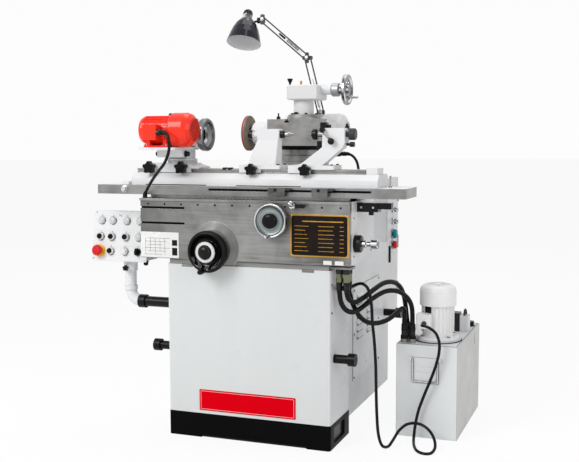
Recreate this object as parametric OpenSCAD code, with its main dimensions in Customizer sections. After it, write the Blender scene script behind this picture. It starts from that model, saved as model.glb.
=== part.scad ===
// Universal tool and cutter grinder with a separate pump tank.
// Frame: X to the right, Y to the back, Z up. The origin lies on the floor
// at the centre of the four anchor bolts. Millimetres.

/* [Bed] */
// Width of the front box of the bed
bed_w = 638; // [600:1:680]
// Depth of the front box of the bed
bed_d = 231; // [200:1:260]
// Whole length of the bed, front to back
bed_len = 1072; // [1040:1:1120]
// Height of the front box of the bed
bed_h = 650; // [620:1:680]
// Width of the rear base
base_w = 510; // [480:1:540]
// Step down from the front box to the top of the rear base
base_drop = 10; // [4:1:20]
// Wall of the bed casting
bed_wall = 16; // [12:1:20]
// Thickness of the foot flange inside the bed
foot_t = 18; // [14:1:24]
// Width of the foot flange inside the bed
foot_w = 74; // [66:1:90]
// Height of the dark plinth band
plinth_h = 92; // [80:1:110]
// Anchor bolt spacing across
anchor_x = 440; // [430:1:446]
// Anchor bolt spacing front to back
anchor_y = 950; // [930:1:960]
// Radius of the anchor bolt holes
anchor_r = 9; // [7:0.5:11]
// Radius of the lifting bars
lift_bar_r = 16; // [12:1:20]

/* [Saddle] */
// Length of the saddle
saddle_len = 816; // [780:1:840]
// Height of the saddle
saddle_h = 222; // [210:1:235]
// Depth of the saddle
saddle_d = 312; // [300:1:320]
// Distance the apron stands in front of the bed
apron_out = 15; // [5:1:30]
// Height of the ways under the saddle
way_h = 21; // [16:1:26]
// Radius of the cross feed handwheel
cross_wheel_r = 79; // [70:1:90]
// Radius of the dial handwheel
dial_wheel_r = 63; // [55:1:70]

/* [Tables] */
// Length of the lower table
table_len = 1200; // [1100:1:1240]
// Depth of the lower table
table_d = 175; // [165:1:185]
// Height of the lower table
table_h = 35; // [32:1:40]
// Height of the ways under the lower table
table_way_h = 12; // [10:1:16]
// Length of the swivel table
swivel_len = 960; // [900:1:1000]
// Depth of the swivel table
swivel_d = 135; // [125:1:140]
// Height of the swivel table
swivel_h = 45; // [40:1:52]
// Height of the steel rail on the swivel table
rail_h = 16; // [12:1:20]
// Depth of the steel rail
rail_d = 78; // [70:1:86]
// Height of the centres over the rail
centre_h = 125; // [115:1:130]

/* [Workhead] */
// Radius of the workhead spindle nose
nose_r = 61; // [56:1:66]
// Radius of the draw bar bore through the spindle
drawbar_r = 10; // [8:0.5:12]
// Radius of the workhead motor
work_motor_r = 54; // [48:1:58]
// Radius of the fan cowl of the workhead motor
work_cowl_r = 62; // [58:1:66]

/* [Wheelhead] */
// Distance of the wheel spindle behind the front of the bed
spindle_back = 400; // [390:1:410]
// Height of the wheel spindle
spindle_z = 1133; // [1125:1:1140]
// Radius of the grinding wheel
wheel_r = 70; // [55:1:75]
// Thickness of the grinding wheel
wheel_t = 13; // [8:1:20]
// Radius of the lift column
lift_r = 64; // [58:1:70]
// Radius of the neck over the wheelhead
neck_r = 41; // [36:1:46]
// Radius of the lift handwheel
lift_wheel_r = 62; // [55:1:68]
// Radius of the wheelhead motor
head_motor_r = 78; // [70:1:84]

/* [Lamp] */
// Length of the lower lamp arm
arm_low = 231; // [200:1:250]
// Length of the upper lamp arm
arm_up = 256; // [220:1:270]
// Mouth radius of the lamp shade
shade_r = 72; // [64:1:84]
// Wall of the lamp shade
shade_wall = 2; // [1.5:0.1:3]

/* [Cabinet and pendant] */
// Width of the electrical cabinet
cabinet_w = 420; // [380:1:460]
// Depth of the electrical cabinet
cabinet_d = 189; // [170:1:210]
// Height of the electrical cabinet
cabinet_h = 635; // [600:1:660]
// Sheet thickness of the cabinet
sheet = 3; // [2:0.5:4]
// Width of the control pendant
pendant_w = 232; // [220:1:240]
// Height of the pendant face
pendant_h = 188; // [180:1:196]
// Lean of the pendant face, degrees
face_tilt = 11; // [6:1:14]
// Clearance between the pendant and the saddle
pendant_clear = 21; // [15:1:40]
// Depth of the control pendant
pendant_d = 100; // [90:1:110]
// Radius of the pendant pipe
pipe_r = 22; // [19:1:26]

/* [Pump tank] */
// Width of the tank
tank_w = 230; // [215:1:245]
// Length of the tank, front to back
tank_len = 495; // [470:1:520]
// Height of the tank
tank_h = 350; // [330:1:370]
// Wall of the tank
tank_wall = 4; // [3:0.5:6]
// Radius of the pump motor
pump_r = 62; // [56:1:66]
// Radius of the fan cowl on the pump motor
pump_cowl_r = 69; // [67:1:72]
// Radius of the hydraulic hoses
hose_r = 9; // [7:0.5:10]
// Radius of the pump cable
cable_r = 5.5; // [4:0.5:7]

/* [Hidden] */
$fn = 48;
// Running clearance between parts that move
gap = 0.3;
front_y = -bed_len / 2;

// Heights that stack up from the floor
base_h = bed_h - base_drop;
saddle_z = bed_h + way_h;
saddle_top = saddle_z + saddle_h;
table_z = saddle_top + table_way_h;
table_top = table_z + table_h;
swivel_z = table_top + gap;
swivel_top = swivel_z + swivel_h;
rail_top = swivel_top + rail_h;
centre_z = rail_top + centre_h;

// Stations front to back
apron_y = front_y - apron_out;
saddle_y1 = apron_y + saddle_d;
centre_y = front_y + 100;
table_y = front_y + 97;
spindle_y = front_y + spindle_back;
column_x = 34;
column_y = spindle_y + 130;
saddle_x = -13;
saddle_x0 = saddle_x - saddle_len / 2;
saddle_x1 = saddle_x + saddle_len / 2;

white = [0.93, 0.93, 0.92];
steel = [0.62, 0.62, 0.6];
black = [0.06, 0.06, 0.06];
chrome = [0.8, 0.8, 0.82];
red = [0.85, 0.1, 0.07];

// ---- shared shapes ----

// Points of an arc about c
function arc(c, r, a0, a1, n = 5) =
  [for (i = [0:n]) let (a = a0 + (a1 - a0) * i / n) c + r * [cos(a), sin(a)]];

// Outline of a rectangle with round corners, about its centre
function round_rect(w, d, r) = concat(
  arc([w / 2 - r, d / 2 - r], r, 0, 90), arc([r - w / 2, d / 2 - r], r, 90, 180),
  arc([r - w / 2, r - d / 2], r, 180, 270), arc([w / 2 - r, r - d / 2], r, 270, 360));

// Block between two corners, with its upright edges rounded by r
module block(x, y, z, r = 3)
  translate([(x[0] + x[1]) / 2, (y[0] + y[1]) / 2, z[0]])
    linear_extrude(z[1] - z[0]) polygon(round_rect(x[1] - x[0], y[1] - y[0], r));

// Sharp block between two corners
module box(x, y, z)
  translate([x[0], y[0], z[0]]) cube([x[1] - x[0], y[1] - y[0], z[1] - z[0]]);

// Plate in the XZ plane with round corners, between y[0] and y[1]
module plate_y(x, y, z, r = 3)
  translate([(x[0] + x[1]) / 2, y[1], (z[0] + z[1]) / 2]) rotate([90, 0, 0])
    linear_extrude(y[1] - y[0]) polygon(round_rect(x[1] - x[0], z[1] - z[0], r));

// Plate in the YZ plane with round corners, between x[0] and x[1]
module plate_x(x, y, z, r = 3)
  translate([x[0], (y[0] + y[1]) / 2, (z[0] + z[1]) / 2]) rotate([90, 0, 90])
    linear_extrude(x[1] - x[0]) polygon(round_rect(y[1] - y[0], z[1] - z[0], r));

// Round bars along each axis
module rod_x(x, y, z, r) translate([x[0], y, z]) rotate([0, 90, 0]) cylinder(h = x[1] - x[0], r = r);
module rod_y(x, y, z, r) translate([x, y[1], z]) rotate([90, 0, 0]) cylinder(h = y[1] - y[0], r = r);
module rod_z(x, y, z, r) translate([x, y, z[0]]) cylinder(h = z[1] - z[0], r = r);

// Turned part: points are [radius, distance], distance runs along X, Y to the front, or Z
module turned_x(at, pts) translate(at) rotate([0, 90, 0]) rotate_extrude() polygon(pts);
module turned_front(at, pts) translate(at) rotate([90, 0, 0]) rotate_extrude() polygon(pts);
module turned_z(at, pts) translate(at) rotate_extrude() polygon(pts);

// Star grip of five lobes with its stem, pointing to the front
module star_knob(at, r, seat) {
  lobes = 5;
  lobe_r = 0.3 * r;
  translate(at) rotate([90, 0, 0]) {
    linear_extrude(0.85 * r) union() {
      circle(r = 0.72 * r);
      for (i = [0:lobes - 1]) rotate(90 + 360 / lobes * i)
        translate([0.66 * r, 0]) circle(r = lobe_r, $fn = 24);
    }
    translate([0, 0, -seat]) cylinder(h = seat + 0.1, r = 0.36 * r);
  }
}

// Cord: rings of a tube swept along points, each ring square to the path
function unit(v) = v / norm(v);
function tangent(p, i) = unit(p[min(i + 1, len(p) - 1)] - p[max(i - 1, 0)]);
// Points on a smooth curve through the chosen points
function curve(p, n) = [
  for (i = [0:len(p) - 2]) for (k = [0:n - 1])
    let (t = k / n, a = p[max(i - 1, 0)], b = p[i], c = p[i + 1], d = p[min(i + 2, len(p) - 1)])
      0.5 * (2 * b + (c - a) * t + (2 * a - 5 * b + 4 * c - d) * t * t
             + (3 * b - a - 3 * c + d) * t * t * t),
  p[len(p) - 1]];
// Path direction and side direction of each ring, carried along without twist
function frames(p, i = 0, n = undef) =
  let (t = tangent(p, i), side = abs(t[2]) > 0.9 ? [1, 0, 0] : [0, 0, 1],
       m = i == 0 ? unit(cross(t, side)) : unit(n - (n * t) * t))
    i == len(p) - 1 ? [[t, m]] : concat([[t, m]], frames(p, i + 1, m));
module cord(points, r, steps = 2, sides = 8) {
  path = curve(points, steps);
  f = frames(path);
  rings = len(path);
  verts = [for (i = [0:rings - 1]) for (k = [0:sides - 1])
    path[i] + r * (cos(360 * k / sides) * f[i][1] + sin(360 * k / sides) * cross(f[i][0], f[i][1]))];
  walls = [for (i = [0:rings - 2]) for (k = [0:sides - 1]) let (n = (k + 1) % sides)
    each [[i * sides + k, (i + 1) * sides + n, i * sides + n],
          [i * sides + k, (i + 1) * sides + k, (i + 1) * sides + n]]];
  ends = [[for (k = [0:sides - 1]) k], [for (k = [sides - 1:-1:0]) (rings - 1) * sides + k]];
  polyhedron(verts, concat(walls, ends), convexity = 10);
}

// ---- bed and what stands on it ----

bed_x = bed_w / 2;
base_x = base_w / 2;
bed_y1 = front_y + bed_d;
back_y = front_y + bed_len;
pocket_d = 8;
way_w = 44;
way_x = 236;
way_len = 434;

module bed() color(white) difference() {
  union() {
    block([-bed_x, bed_x], [front_y, bed_y1], [0, bed_h], 10);
    block([-base_x, base_x], [bed_y1 - 2 * bed_wall, back_y], [0, base_h], 8);
    for (s = [-1, 1])
      box([s * way_x - way_w / 2, s * way_x + way_w / 2], [front_y + 8, front_y + way_len],
          [base_h - 1, saddle_z - gap]);
    // gland of the wheelhead cable
    turned_z([226, back_y - 460, base_h - 1], [[0, 0], [12, 0], [12, 10], [9, 14], [9, 19], [0, 19]]);
  }
  // inside of the casting, open to the floor
  box([-bed_x + bed_wall, bed_x - bed_wall], [front_y + bed_wall, bed_y1 - bed_wall],
      [foot_t, bed_h - bed_wall]);
  box([-base_x + bed_wall, base_x - bed_wall], [bed_y1 - bed_wall - 1, back_y - bed_wall],
      [foot_t, base_h - bed_wall]);
  block([-base_x + bed_wall + foot_w, base_x - bed_wall - foot_w],
      [front_y + bed_wall + foot_w, back_y - bed_wall - foot_w], [-1, foot_t + 1], 30);
  // anchor bolt holes
  for (x = [-1, 1], y = [-1, 1])
    rod_z(x * anchor_x / 2, y * anchor_y / 2, [-1, foot_t + 1], anchor_r);
  // relief between the front pads
  box([-bed_x * 0.58, bed_x * 0.72], [front_y - 1, front_y + pocket_d], [-1, 9]);
  // hand pocket in the side of the plinth
  plate_x([bed_x - pocket_d, bed_x + 1], [front_y + 46, front_y + 176], [16, plinth_h - 18], 8);
}

panel_y = [front_y + 494, front_y + 895];
panel_z = [130, 512];
panel_t = 3;
louvre_t = 9;
louvre_h = 12;

// One pressed louvre along Y, open below
module louvre(y, z, len) {
  lip = 2;
  translate([base_x + panel_t, y + len, z]) rotate([90, 0, 0]) difference() {
    linear_extrude(len) polygon([[0, 0], [louvre_t, 0], [louvre_t, lip], [0, louvre_h]]);
    translate([0, 0, lip]) linear_extrude(len - 2 * lip)
      polygon([[-1, -1], [louvre_t - lip, -1], [louvre_t - lip, lip / 2], [-1, louvre_h - lip]]);
  }
}
module side_panel() color(white) {
  difference() {
    plate_x([base_x, base_x + panel_t], panel_y, panel_z, 6);
    for (c = [0, 1], i = [0:6])
      box([base_x - 1, base_x + panel_t + 1], [louvre_y(c) + 2, louvre_y(c) + louvre_len - 2],
          [louvre_z(c, i) + 1, louvre_z(c, i) + 5]);
  }
  for (c = [0, 1], i = [0:6]) louvre(louvre_y(c), louvre_z(c, i), louvre_len);
}
louvre_len = 90;
function louvre_y(c) = panel_y[0] + 48 + 150 * c;
function louvre_z(c, i) = panel_z[0] + 170 + 28 * i;

lift_z = 328;
lift_front_y = front_y + 48;
lift_rear_y = front_y + 995;
lift_out = 80;
lift_head = 26;
module lifting_bar(x, y, s) {
  for (p = [[0, lift_out - lift_head, lift_bar_r], [lift_out - lift_head, lift_out, lift_bar_r + 7]])
    rod_x(s > 0 ? [x + p[0], x + p[1]] : [-x - p[1], -x - p[0]], y, lift_z, p[2]);
}
module lifting_bars() color(black) for (s = [-1, 1]) {
  lifting_bar(bed_x, lift_front_y, s);
  lifting_bar(base_x, lift_rear_y, s);
}

column_top = 962;
column_r = lift_r + 24;
column_foot = [152, 180];
module column() color(white) difference() {
  union() {
    block([column_x - column_foot[0], column_x + column_foot[0]],
          [column_y - column_r, column_y + column_foot[1]], [base_h, base_h + 40], 12);
    hull() {
      block([column_x - column_foot[0] + 14, column_x + column_foot[0] - 14],
            [column_y - column_r, column_y + column_foot[1] - 14], [base_h + 39, base_h + 40], 12);
      rod_z(column_x, column_y, [base_h + 200, base_h + 201], column_r, $fn = 32);
    }
    rod_z(column_x, column_y, [base_h + 60, column_top], column_r);
  }
  rod_z(column_x, column_y, [base_h + 30, column_top + 1], lift_r + 0.05);
}

// ---- electrical cabinet ----

cabinet_x1 = base_x - 12;
cabinet_x0 = cabinet_x1 - cabinet_w;
cabinet_y = [back_y, back_y + cabinet_d];
cabinet_z = [295, 295 + cabinet_h];
door_t = 2 * sheet;
module cabinet() color(white) difference() {
  block([cabinet_x0, cabinet_x1 - gap], cabinet_y, cabinet_z, 4);
  box([cabinet_x0 + sheet, cabinet_x1 + 1], [cabinet_y[0] + sheet, cabinet_y[1] - sheet],
      [cabinet_z[0] + sheet, cabinet_z[1] - sheet]);
}
door_z = [cabinet_z[0] + 1, cabinet_z[1] - 1];
module cabinet_door() {
  color(white) difference() {
    plate_x([cabinet_x1, cabinet_x1 + door_t], [cabinet_y[0] + 1, cabinet_y[1]], door_z, 4);
    for (z = button_z) rod_x([cabinet_x1 - 1, cabinet_x1 + door_t + 1], button_y, z, 8 + gap);
  }
  // pull handle
  color(black) plate_x([cabinet_x1 + door_t, cabinet_x1 + door_t + 12],
                       [cabinet_y[0] + 4, cabinet_y[0] + 16],
                       [cabinet_z[0] + 248, cabinet_z[0] + 325], 4);
  // chrome indicator bezels
  color(chrome) for (z = signal_z)
    turned_x([cabinet_x1 + door_t, button_y, z],
             [[0, 0], [17, 0], [17, 6], [13, 10], [13, 22], [9, 27], [0, 27]]);
}
button_y = cabinet_y[0] + 84;
button_z = [cabinet_z[0] + 374, cabinet_z[0] + 323];
signal_z = [cabinet_z[0] + 433, cabinet_z[0] + 488];
module cabinet_button(z, c, head) color(c) {
  turned_x([cabinet_x1 + door_t + 6, button_y, z],
           [[0, 0], [head - 4, 0], [head, 4], [head, 12], [head - 5, 17], [0, 18]]);
  rod_x([cabinet_x1 + 0.5, cabinet_x1 + door_t + 7], button_y, z, 8);
}
module cabinet_start_button() cabinet_button(button_z[0], [0.05, 0.55, 0.6], 21);
module cabinet_stop_button() cabinet_button(button_z[1], red, 18);

// ---- control pendant ----

pipe_y = front_y + 105;
pipe_z = 482;
elbow_r = 46;
pendant_z = 645;
pendant_x = saddle_x0 - pendant_clear - pendant_w / 2;
pipe_x = pendant_x + 24;
swivel_seat_z = pendant_z - 45;
module pendant_arm() {
  color(black) {
    rod_x([pipe_x + elbow_r, -bed_x], pipe_y, pipe_z, pipe_r - 2);
    rod_x([pipe_x + elbow_r - 6, pipe_x + elbow_r + 22], pipe_y, pipe_z, pipe_r + 4);
  }
  color(white) {
    translate([pipe_x + elbow_r, pipe_y, pipe_z + elbow_r]) rotate([90, 0, 0]) rotate([0, 0, 180])
      rotate_extrude(angle = 90) translate([elbow_r, 0]) circle(r = pipe_r);
    rod_z(pipe_x, pipe_y, [pipe_z + elbow_r, swivel_seat_z], pipe_r);
    rod_z(pipe_x, pipe_y, [pipe_z + elbow_r - 2, pipe_z + elbow_r + 14], pipe_r + 4);
  }
}
module pendant_clamp() color(black) {
  star_knob([pipe_x, pipe_y - pipe_r - 14, swivel_seat_z + 14], 12, 9 - gap);
}
face_y = pipe_y - pendant_d / 2;
face_t = 3;
face_rim = 4;
// Stands things on the leaning face: Y goes in, Z goes up the face
module on_face() translate([0, face_y, pendant_z]) rotate([-face_tilt, 0, 0]) children();
module pendant_box() color(white) difference() {
  union() {
    translate([pendant_x - pendant_w / 2, 0, 0]) rotate([90, 0, 90]) linear_extrude(pendant_w)
      polygon([[face_y + 2, pendant_z], [face_y + 96, pendant_z], [face_y + pendant_d, pendant_z + 20],
               [face_y + pendant_d, pendant_z + pendant_h * cos(face_tilt)],
               [face_y + 2 + pendant_h * sin(face_tilt), pendant_z + pendant_h * cos(face_tilt)]]);
    rod_z(pipe_x, pipe_y, [swivel_seat_z + gap, pendant_z + 1], pipe_r + 5);
    // front plate with its rim, and the signal lamps
    on_face() {
      plate_y([pendant_x - pendant_w / 2 - face_rim, pendant_x + pendant_w / 2 + face_rim], [0, face_t],
              [-face_rim, pendant_h + face_rim], 4);
      for (l = lamp_spots) turned_front([l[0], 1, l[1]], [[0, 0], [14, 0], [14, 8], [12, 11], [0, 13]]);
    }
  }
  on_face() for (b = pendant_spots) rod_y(b[0], [-1, 14], b[1], 7 + gap);
}
// Places of the buttons on the face: across, up
col_x = [-87, -38, 24, 80];
row_h = [153, 90, 34];
pendant_spots = [
  for (i = [0:2]) [pendant_x + col_x[i], row_h[1]],
  for (i = [0:3]) [pendant_x + col_x[i], row_h[2]]];
lamp_spots = [for (i = [0:3]) [pendant_x + col_x[i], row_h[0]], [pendant_x + col_x[3], row_h[1]]];
module pendant_button(i, c) color(c) on_face() {
  turned_front([pendant_spots[i][0], -4, pendant_spots[i][1]],
               [[0, 0], [14, 0], [14, 6], [10.5, 9], [10, 12], [0, 12.5]]);
  rod_y(pendant_spots[i][0], [-5, 8], pendant_spots[i][1], 7);
}
module pendant_button_1() pendant_button(0, black);
module pendant_button_2() pendant_button(1, black);
module pendant_button_3() pendant_button(2, black);
module pendant_button_4() pendant_button(4, black);
module pendant_button_5() pendant_button(5, white);
module pendant_estop() color(red) on_face() {
  turned_front([pendant_spots[3][0], -5, pendant_spots[3][1]],
               [[0, 0], [14, 0], [14, 7], [20, 12], [21, 20], [16, 26], [0, 27]]);
  rod_y(pendant_spots[3][0], [-6, 8], pendant_spots[3][1], 7);
}
module pendant_selector() color(black) on_face() {
  turned_front([pendant_spots[6][0], -gap, pendant_spots[6][1]],
               [[0, 0], [14, 0], [14, 4], [12, 7], [0, 7]]);
  plate_y([pendant_spots[6][0] - 4, pendant_spots[6][0] + 4], [-19, -6],
          [pendant_spots[6][1] - 13, pendant_spots[6][1] + 13], 3);
  rod_y(pendant_spots[6][0], [-1, 8], pendant_spots[6][1], 7);
}

// ---- pump tank and hydraulic lines ----

tank_x = [490, 490 + tank_w];
tank_y = [front_y + 271, front_y + 271 + tank_len];
pump_x = tank_x[0] + 130;
pump_y = tank_y[0] + 128;
pump_z = tank_h + 8;
cowl_z = pump_z + 148;
module tank() color(white) difference() {
  union() {
    block(tank_x, tank_y, [0, tank_h], 4);
    rod_z(pump_x, pump_y, [tank_h - 1, pump_z - gap], 88);
    for (f = fitting_xy) rod_z(f[0], f[1], [tank_h - 1, tank_h + 14], 13);
    for (x = [-1, 1]) box([handle_x + x * 56 - 5, handle_x + x * 56 + 5],
                          [tank_y[0] - 9, tank_y[0] + 1], [handle_z - 8, handle_z + 8]);
  }
  box([tank_x[0] + tank_wall, tank_x[1] - tank_wall], [tank_y[0] + tank_wall, tank_y[1] - tank_wall],
      [tank_wall, tank_h - tank_wall]);
  // sight glass slot
  plate_x([tank_x[1] - 2, tank_x[1] + 1], [tank_y[0] + 372, tank_y[0] + 384], [288, 332], 5);
  for (x = [-1, 1]) rod_x([handle_x + x * 56 - 6, handle_x + x * 56 + 6], handle_y, handle_z, 3 + gap / 2);
}
handle_x = tank_x[0] + 111;
handle_y = tank_y[0] - 5;
handle_z = 298;
handle_drop = 84;
module tank_handle() color(white) {
  for (x = [-1, 1]) rod_x(x < 0 ? [handle_x - 61, handle_x - 47] : [handle_x + 47, handle_x + 61],
                          handle_y, handle_z, 3);
  for (x = [-1, 1]) rod_z(handle_x + x * 47, handle_y, [handle_z - handle_drop, handle_z + 3], 3.5);
  rod_x([handle_x - 50, handle_x + 50], handle_y, handle_z - handle_drop, 4);
}
module pump_motor() color(white) difference() {
  union() {
    rod_z(pump_x, pump_y, [pump_z, pump_z + 10], 80);
    rod_z(pump_x, pump_y, [pump_z + 9, cowl_z], pump_r - 4);
    for (a = [0:15:345]) translate([pump_x, pump_y, pump_z + 24]) rotate([0, 0, a])
      box([pump_r - 8, pump_r], [-1.6, 1.6], [0, cowl_z - pump_z - 34]);
    // terminal box
    block([pump_x - 65, pump_x - 10], [pump_y - 92, pump_y - 40], [pump_z + 46, pump_z + 100], 5);
    rod_y(pump_x - 30, [pump_y - 108, pump_y - 91], pump_z + 70, 10);
  }
  for (a = [45:90:315]) rod_z(pump_x + 71 * cos(a), pump_y + 71 * sin(a), [pump_z - 1, pump_z + 11], 4.5);
}
module pump_fan_cowl() color(white) difference() {
  turned_z([pump_x, pump_y, cowl_z - 22],
           [[0, 0], [pump_cowl_r, 0], [pump_cowl_r, 56], [pump_cowl_r - 4, 68],
            [pump_cowl_r - 16, 77], [pump_cowl_r - 30, 80], [0, 80]]);
  rod_z(pump_x, pump_y, [cowl_z - 23, cowl_z], pump_r + gap);
  turned_z([pump_x, pump_y, cowl_z - 1],
           [[0, 0], [pump_cowl_r - 3, 0], [pump_cowl_r - 3, 34], [pump_cowl_r - 8, 45],
            [pump_cowl_r - 20, 53], [0, 53]]);
  for (a = [0:15:345]) translate([pump_x, pump_y, 0]) rotate([0, 0, a])
    box([18, pump_cowl_r - 22], [-1.5, 1.5], [cowl_z + 40, cowl_z + 70]);
}
valve_x = tank_x[1] - 44;
valve_y = tank_y[0] + 322;
module valve_block() {
  color(black) block([valve_x - 38, valve_x - 4], [valve_y - 24, valve_y + 24], [tank_h, tank_h + 72], 3);
  color(white) block([valve_x - 4, valve_x + 30], [valve_y - 24, valve_y + 24], [tank_h, tank_h + 64], 3);
  color(black) translate([valve_x + 14, valve_y, tank_h + 64]) rotate([90, 0, 90])
    rotate_extrude(angle = 180) translate([20, 0]) circle(r = 4.5, $fn = 24);
}
// Hose unions on the side of the bed and on the tank
union_xy = [[345, front_y + 25], [372, front_y + 20], [372, front_y + 48]];
union_z = [608, 662];
fitting_xy = [[tank_x[0] + 52, tank_y[0] + 40], [tank_x[0] + 24, tank_y[0] + 74],
              [tank_x[0] + 22, tank_y[0] + 36]];
fitting_top = tank_h + 44;
module hose_manifold() {
  color(steel) block([bed_x, bed_x + 73], [front_y + 4, front_y + 64], [union_z[1] - 6, union_z[1] + 2], 3);
  for (u = union_xy) {
    color(black) rod_z(u[0], u[1], [union_z[1] - 24, union_z[1] - 5], hose_r + 4);
    color([0.45, 0.48, 0.35]) rod_z(u[0], u[1], [union_z[0], union_z[1] - 23], hose_r + 2);
  }
  for (f = fitting_xy) color(black) rod_z(f[0], f[1], [tank_h + 14, fitting_top], hose_r + 2);
  // gland of the pump cable
  color(black) turned_x([bed_x, front_y + 96, 575], [[0, 0], [13, 0], [13, 8], [9, 12], [9, 17], [0, 17]]);
}

// Routes of the hoses and cables, from the exit to the far end
route_a = [[345, -511, 608], [345, -511, 594], [345, -511, 580], [349, -508, 540], [364, -499, 510],
  [388, -484, 500], [412, -454, 514], [438, -404, 540], [468, -346, 557], [500, -300, 553],
  [527, -262, 527], [541, -236, 486], [542, -225, 420], [542, -225, 407], [542, -225, 394]];
route_b = [[372, -516, 608], [372, -516, 594], [372, -516, 580], [378, -508, 550], [396, -488, 537],
  [418, -456, 549], [442, -412, 572], [466, -362, 590], [488, -314, 588], [502, -272, 568],
  [508, -232, 532], [510, -204, 484], [514, -191, 422], [514, -191, 408], [514, -191, 394]];
route_c = [[372, -488, 608], [372, -488, 594], [372, -488, 580], [377, -472, 542], [386, -455, 506],
  [400, -436, 474], [420, -412, 453], [446, -386, 446], [474, -352, 452], [496, -317, 468],
  [509, -285, 482], [515, -257, 481], [514, -238, 458], [512, -229, 420], [512, -229, 407], [512, -229, 394]];
pump_route = [[336, -440, 575], [346, -440, 575], [356, -440, 575], [384, -446, 592], [414, -455, 598],
  [437, -461, 578], [447, -460, 530], [450, -454, 460], [456, -448, 385], [463, -454, 300], [467, -461, 211],
  [471, -466, 137], [478, -470, 64], [490, -462, 20], [504, -430, 8], [512, -390, 20], [524, -356, 44],
  [546, -332, 64], [574, -322, 70], [604, -322, 66], [634, -336, 52], [658, -368, 34], [670, -408, 16],
  [664, -446, 7], [640, -458, 6], [612, -438, 6], [592, -396, 7], [578, -346, 8], [571, -308, 22],
  [572, -290, 58], [582, -287, 108], [603, -288, 169], [626, -292, 227], [644, -294, 278], [656, -295, 325],
  [659, -300, 370], [648, -306, 405], [626, -308, 424], [605, -304, 430], [593, -292, 429],
  [590, -273, 428], [590, -259, 428], [590, -245, 428]];
work_route = [[-284, -642, 1134], [-277, -642, 1134], [-270, -642, 1134], [-256, -646, 1127],
  [-246, -650, 1108], [-244, -650, 1082], [-254, -645, 1052], [-278, -628, 1022], [-317, -602, 992],
  [-354, -578, 960], [-384, -558, 930], [-401, -545, 910], [-405, -541, 901], [-405, -541, 897],
  [-405, -541, 893]];
head_route = [[176, 80, 1048], [186, 80, 1048], [196, 80, 1048], [216, 78, 1040], [234, 76, 1018],
  [242, 76, 985], [243, 78, 940], [240, 82, 880], [234, 84, 800], [228, 80, 730], [226, 76, 690],
  [226, 76, 674], [226, 76, 658]];
module hose_a() color(black) cord(route_a, hose_r);
module hose_b() color(black) cord(route_b, hose_r);
module hose_c() color(black) cord(route_c, hose_r);
module pump_cable() color(black) cord(pump_route, cable_r);
module workhead_cable() color(black) cord(work_route, cable_r);
module head_cable() color(black) cord(head_route, cable_r);

// ---- saddle with its controls ----

cross_x = -130;
cross_z = saddle_z + 35;
dial_x = 112;
dial_z = saddle_z + 153;
lever_x = 190;
lever_z = saddle_top - 9;
feed_y = front_y + 49;
feed_z = saddle_z + 73;
saddle_wall = 16;
lip = [9, 5];
module saddle() color(steel) difference() {
  union() {
    block([saddle_x0, saddle_x1], [apron_y, saddle_y1], [saddle_z, saddle_top], 4);
    box([saddle_x0, saddle_x1 - 2], [apron_y - lip[1], apron_y + 1], [saddle_top - lip[0], saddle_top]);
    // raised boss behind the cross feed handwheel
    intersection() {
      turned_front([cross_x + 12, apron_y + 1, cross_z + 10],
        [[0, 0], [100, 0], [94, 2], [86, 5], [77, 9], [68, 12], [58, 13], [0, 13]]);
      box([cross_x - 110, cross_x + 110], [apron_y - 20, apron_y + 2], [bed_h + 6, saddle_top - 20]);
    }
    turned_front([dial_x, apron_y + 1, dial_z], [[0, 0], [52, 0], [52, 7], [44, 13], [0, 13]]);
    // bracket of the table cylinder, under the right end of the table
    block([saddle_x1 - 2, saddle_x1 + 76], [table_y - 32, table_y + 18],
          [saddle_top - 38, saddle_top - 6], 3);
    block([saddle_x1 + 70, saddle_x1 + 122], [table_y - 24, table_y + 10],
          [saddle_top - 28, saddle_top - 6], 3);
    rod_z(saddle_x1 + 48, table_y - 14, [saddle_top - 50, saddle_top - 37], 9);
    // ways that carry the lower table
    for (s = [-1, 1]) box([saddle_x0 + 20, saddle_x1 - 20],
      [table_y + s * 52 - 13, table_y + s * 52 + 13], [saddle_top - 1, table_z - gap]);
  }
  // cast inside
  box([saddle_x0 + saddle_wall, saddle_x1 - saddle_wall], [apron_y + 30, saddle_y1 - saddle_wall],
      [saddle_z + 18, saddle_top - 22]);
  // trip slots in the apron, open at the left
  for (z = [saddle_z + 131, saddle_z + 188]) {
    box([saddle_x0 - 1, saddle_x0 + 180], [apron_y - 1, apron_y + 11], [z - 4, z + 4]);
    rod_y(saddle_x0 + 180, [apron_y - 1, apron_y + 11], z, 4);
  }
  // sockets of the apron screws
  for (i = [0:11]) rod_y(saddle_x0 + 34 + 68 * i, [apron_y - 1, apron_y + 7], saddle_top - 21, 4);
  rod_y(cross_x, [apron_y - 20, apron_y + 20], cross_z, 12 + 0.05);
  rod_y(dial_x, [apron_y - 20, apron_y + 20], dial_z, 9 + 0.05);
  rod_y(lever_x, [apron_y - 20, apron_y + 14], lever_z - 6, 7 + 0.05);
  rod_x([saddle_x1 - 12, saddle_x1 + 1], feed_y, feed_z, 10 + 0.05);
}

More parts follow.
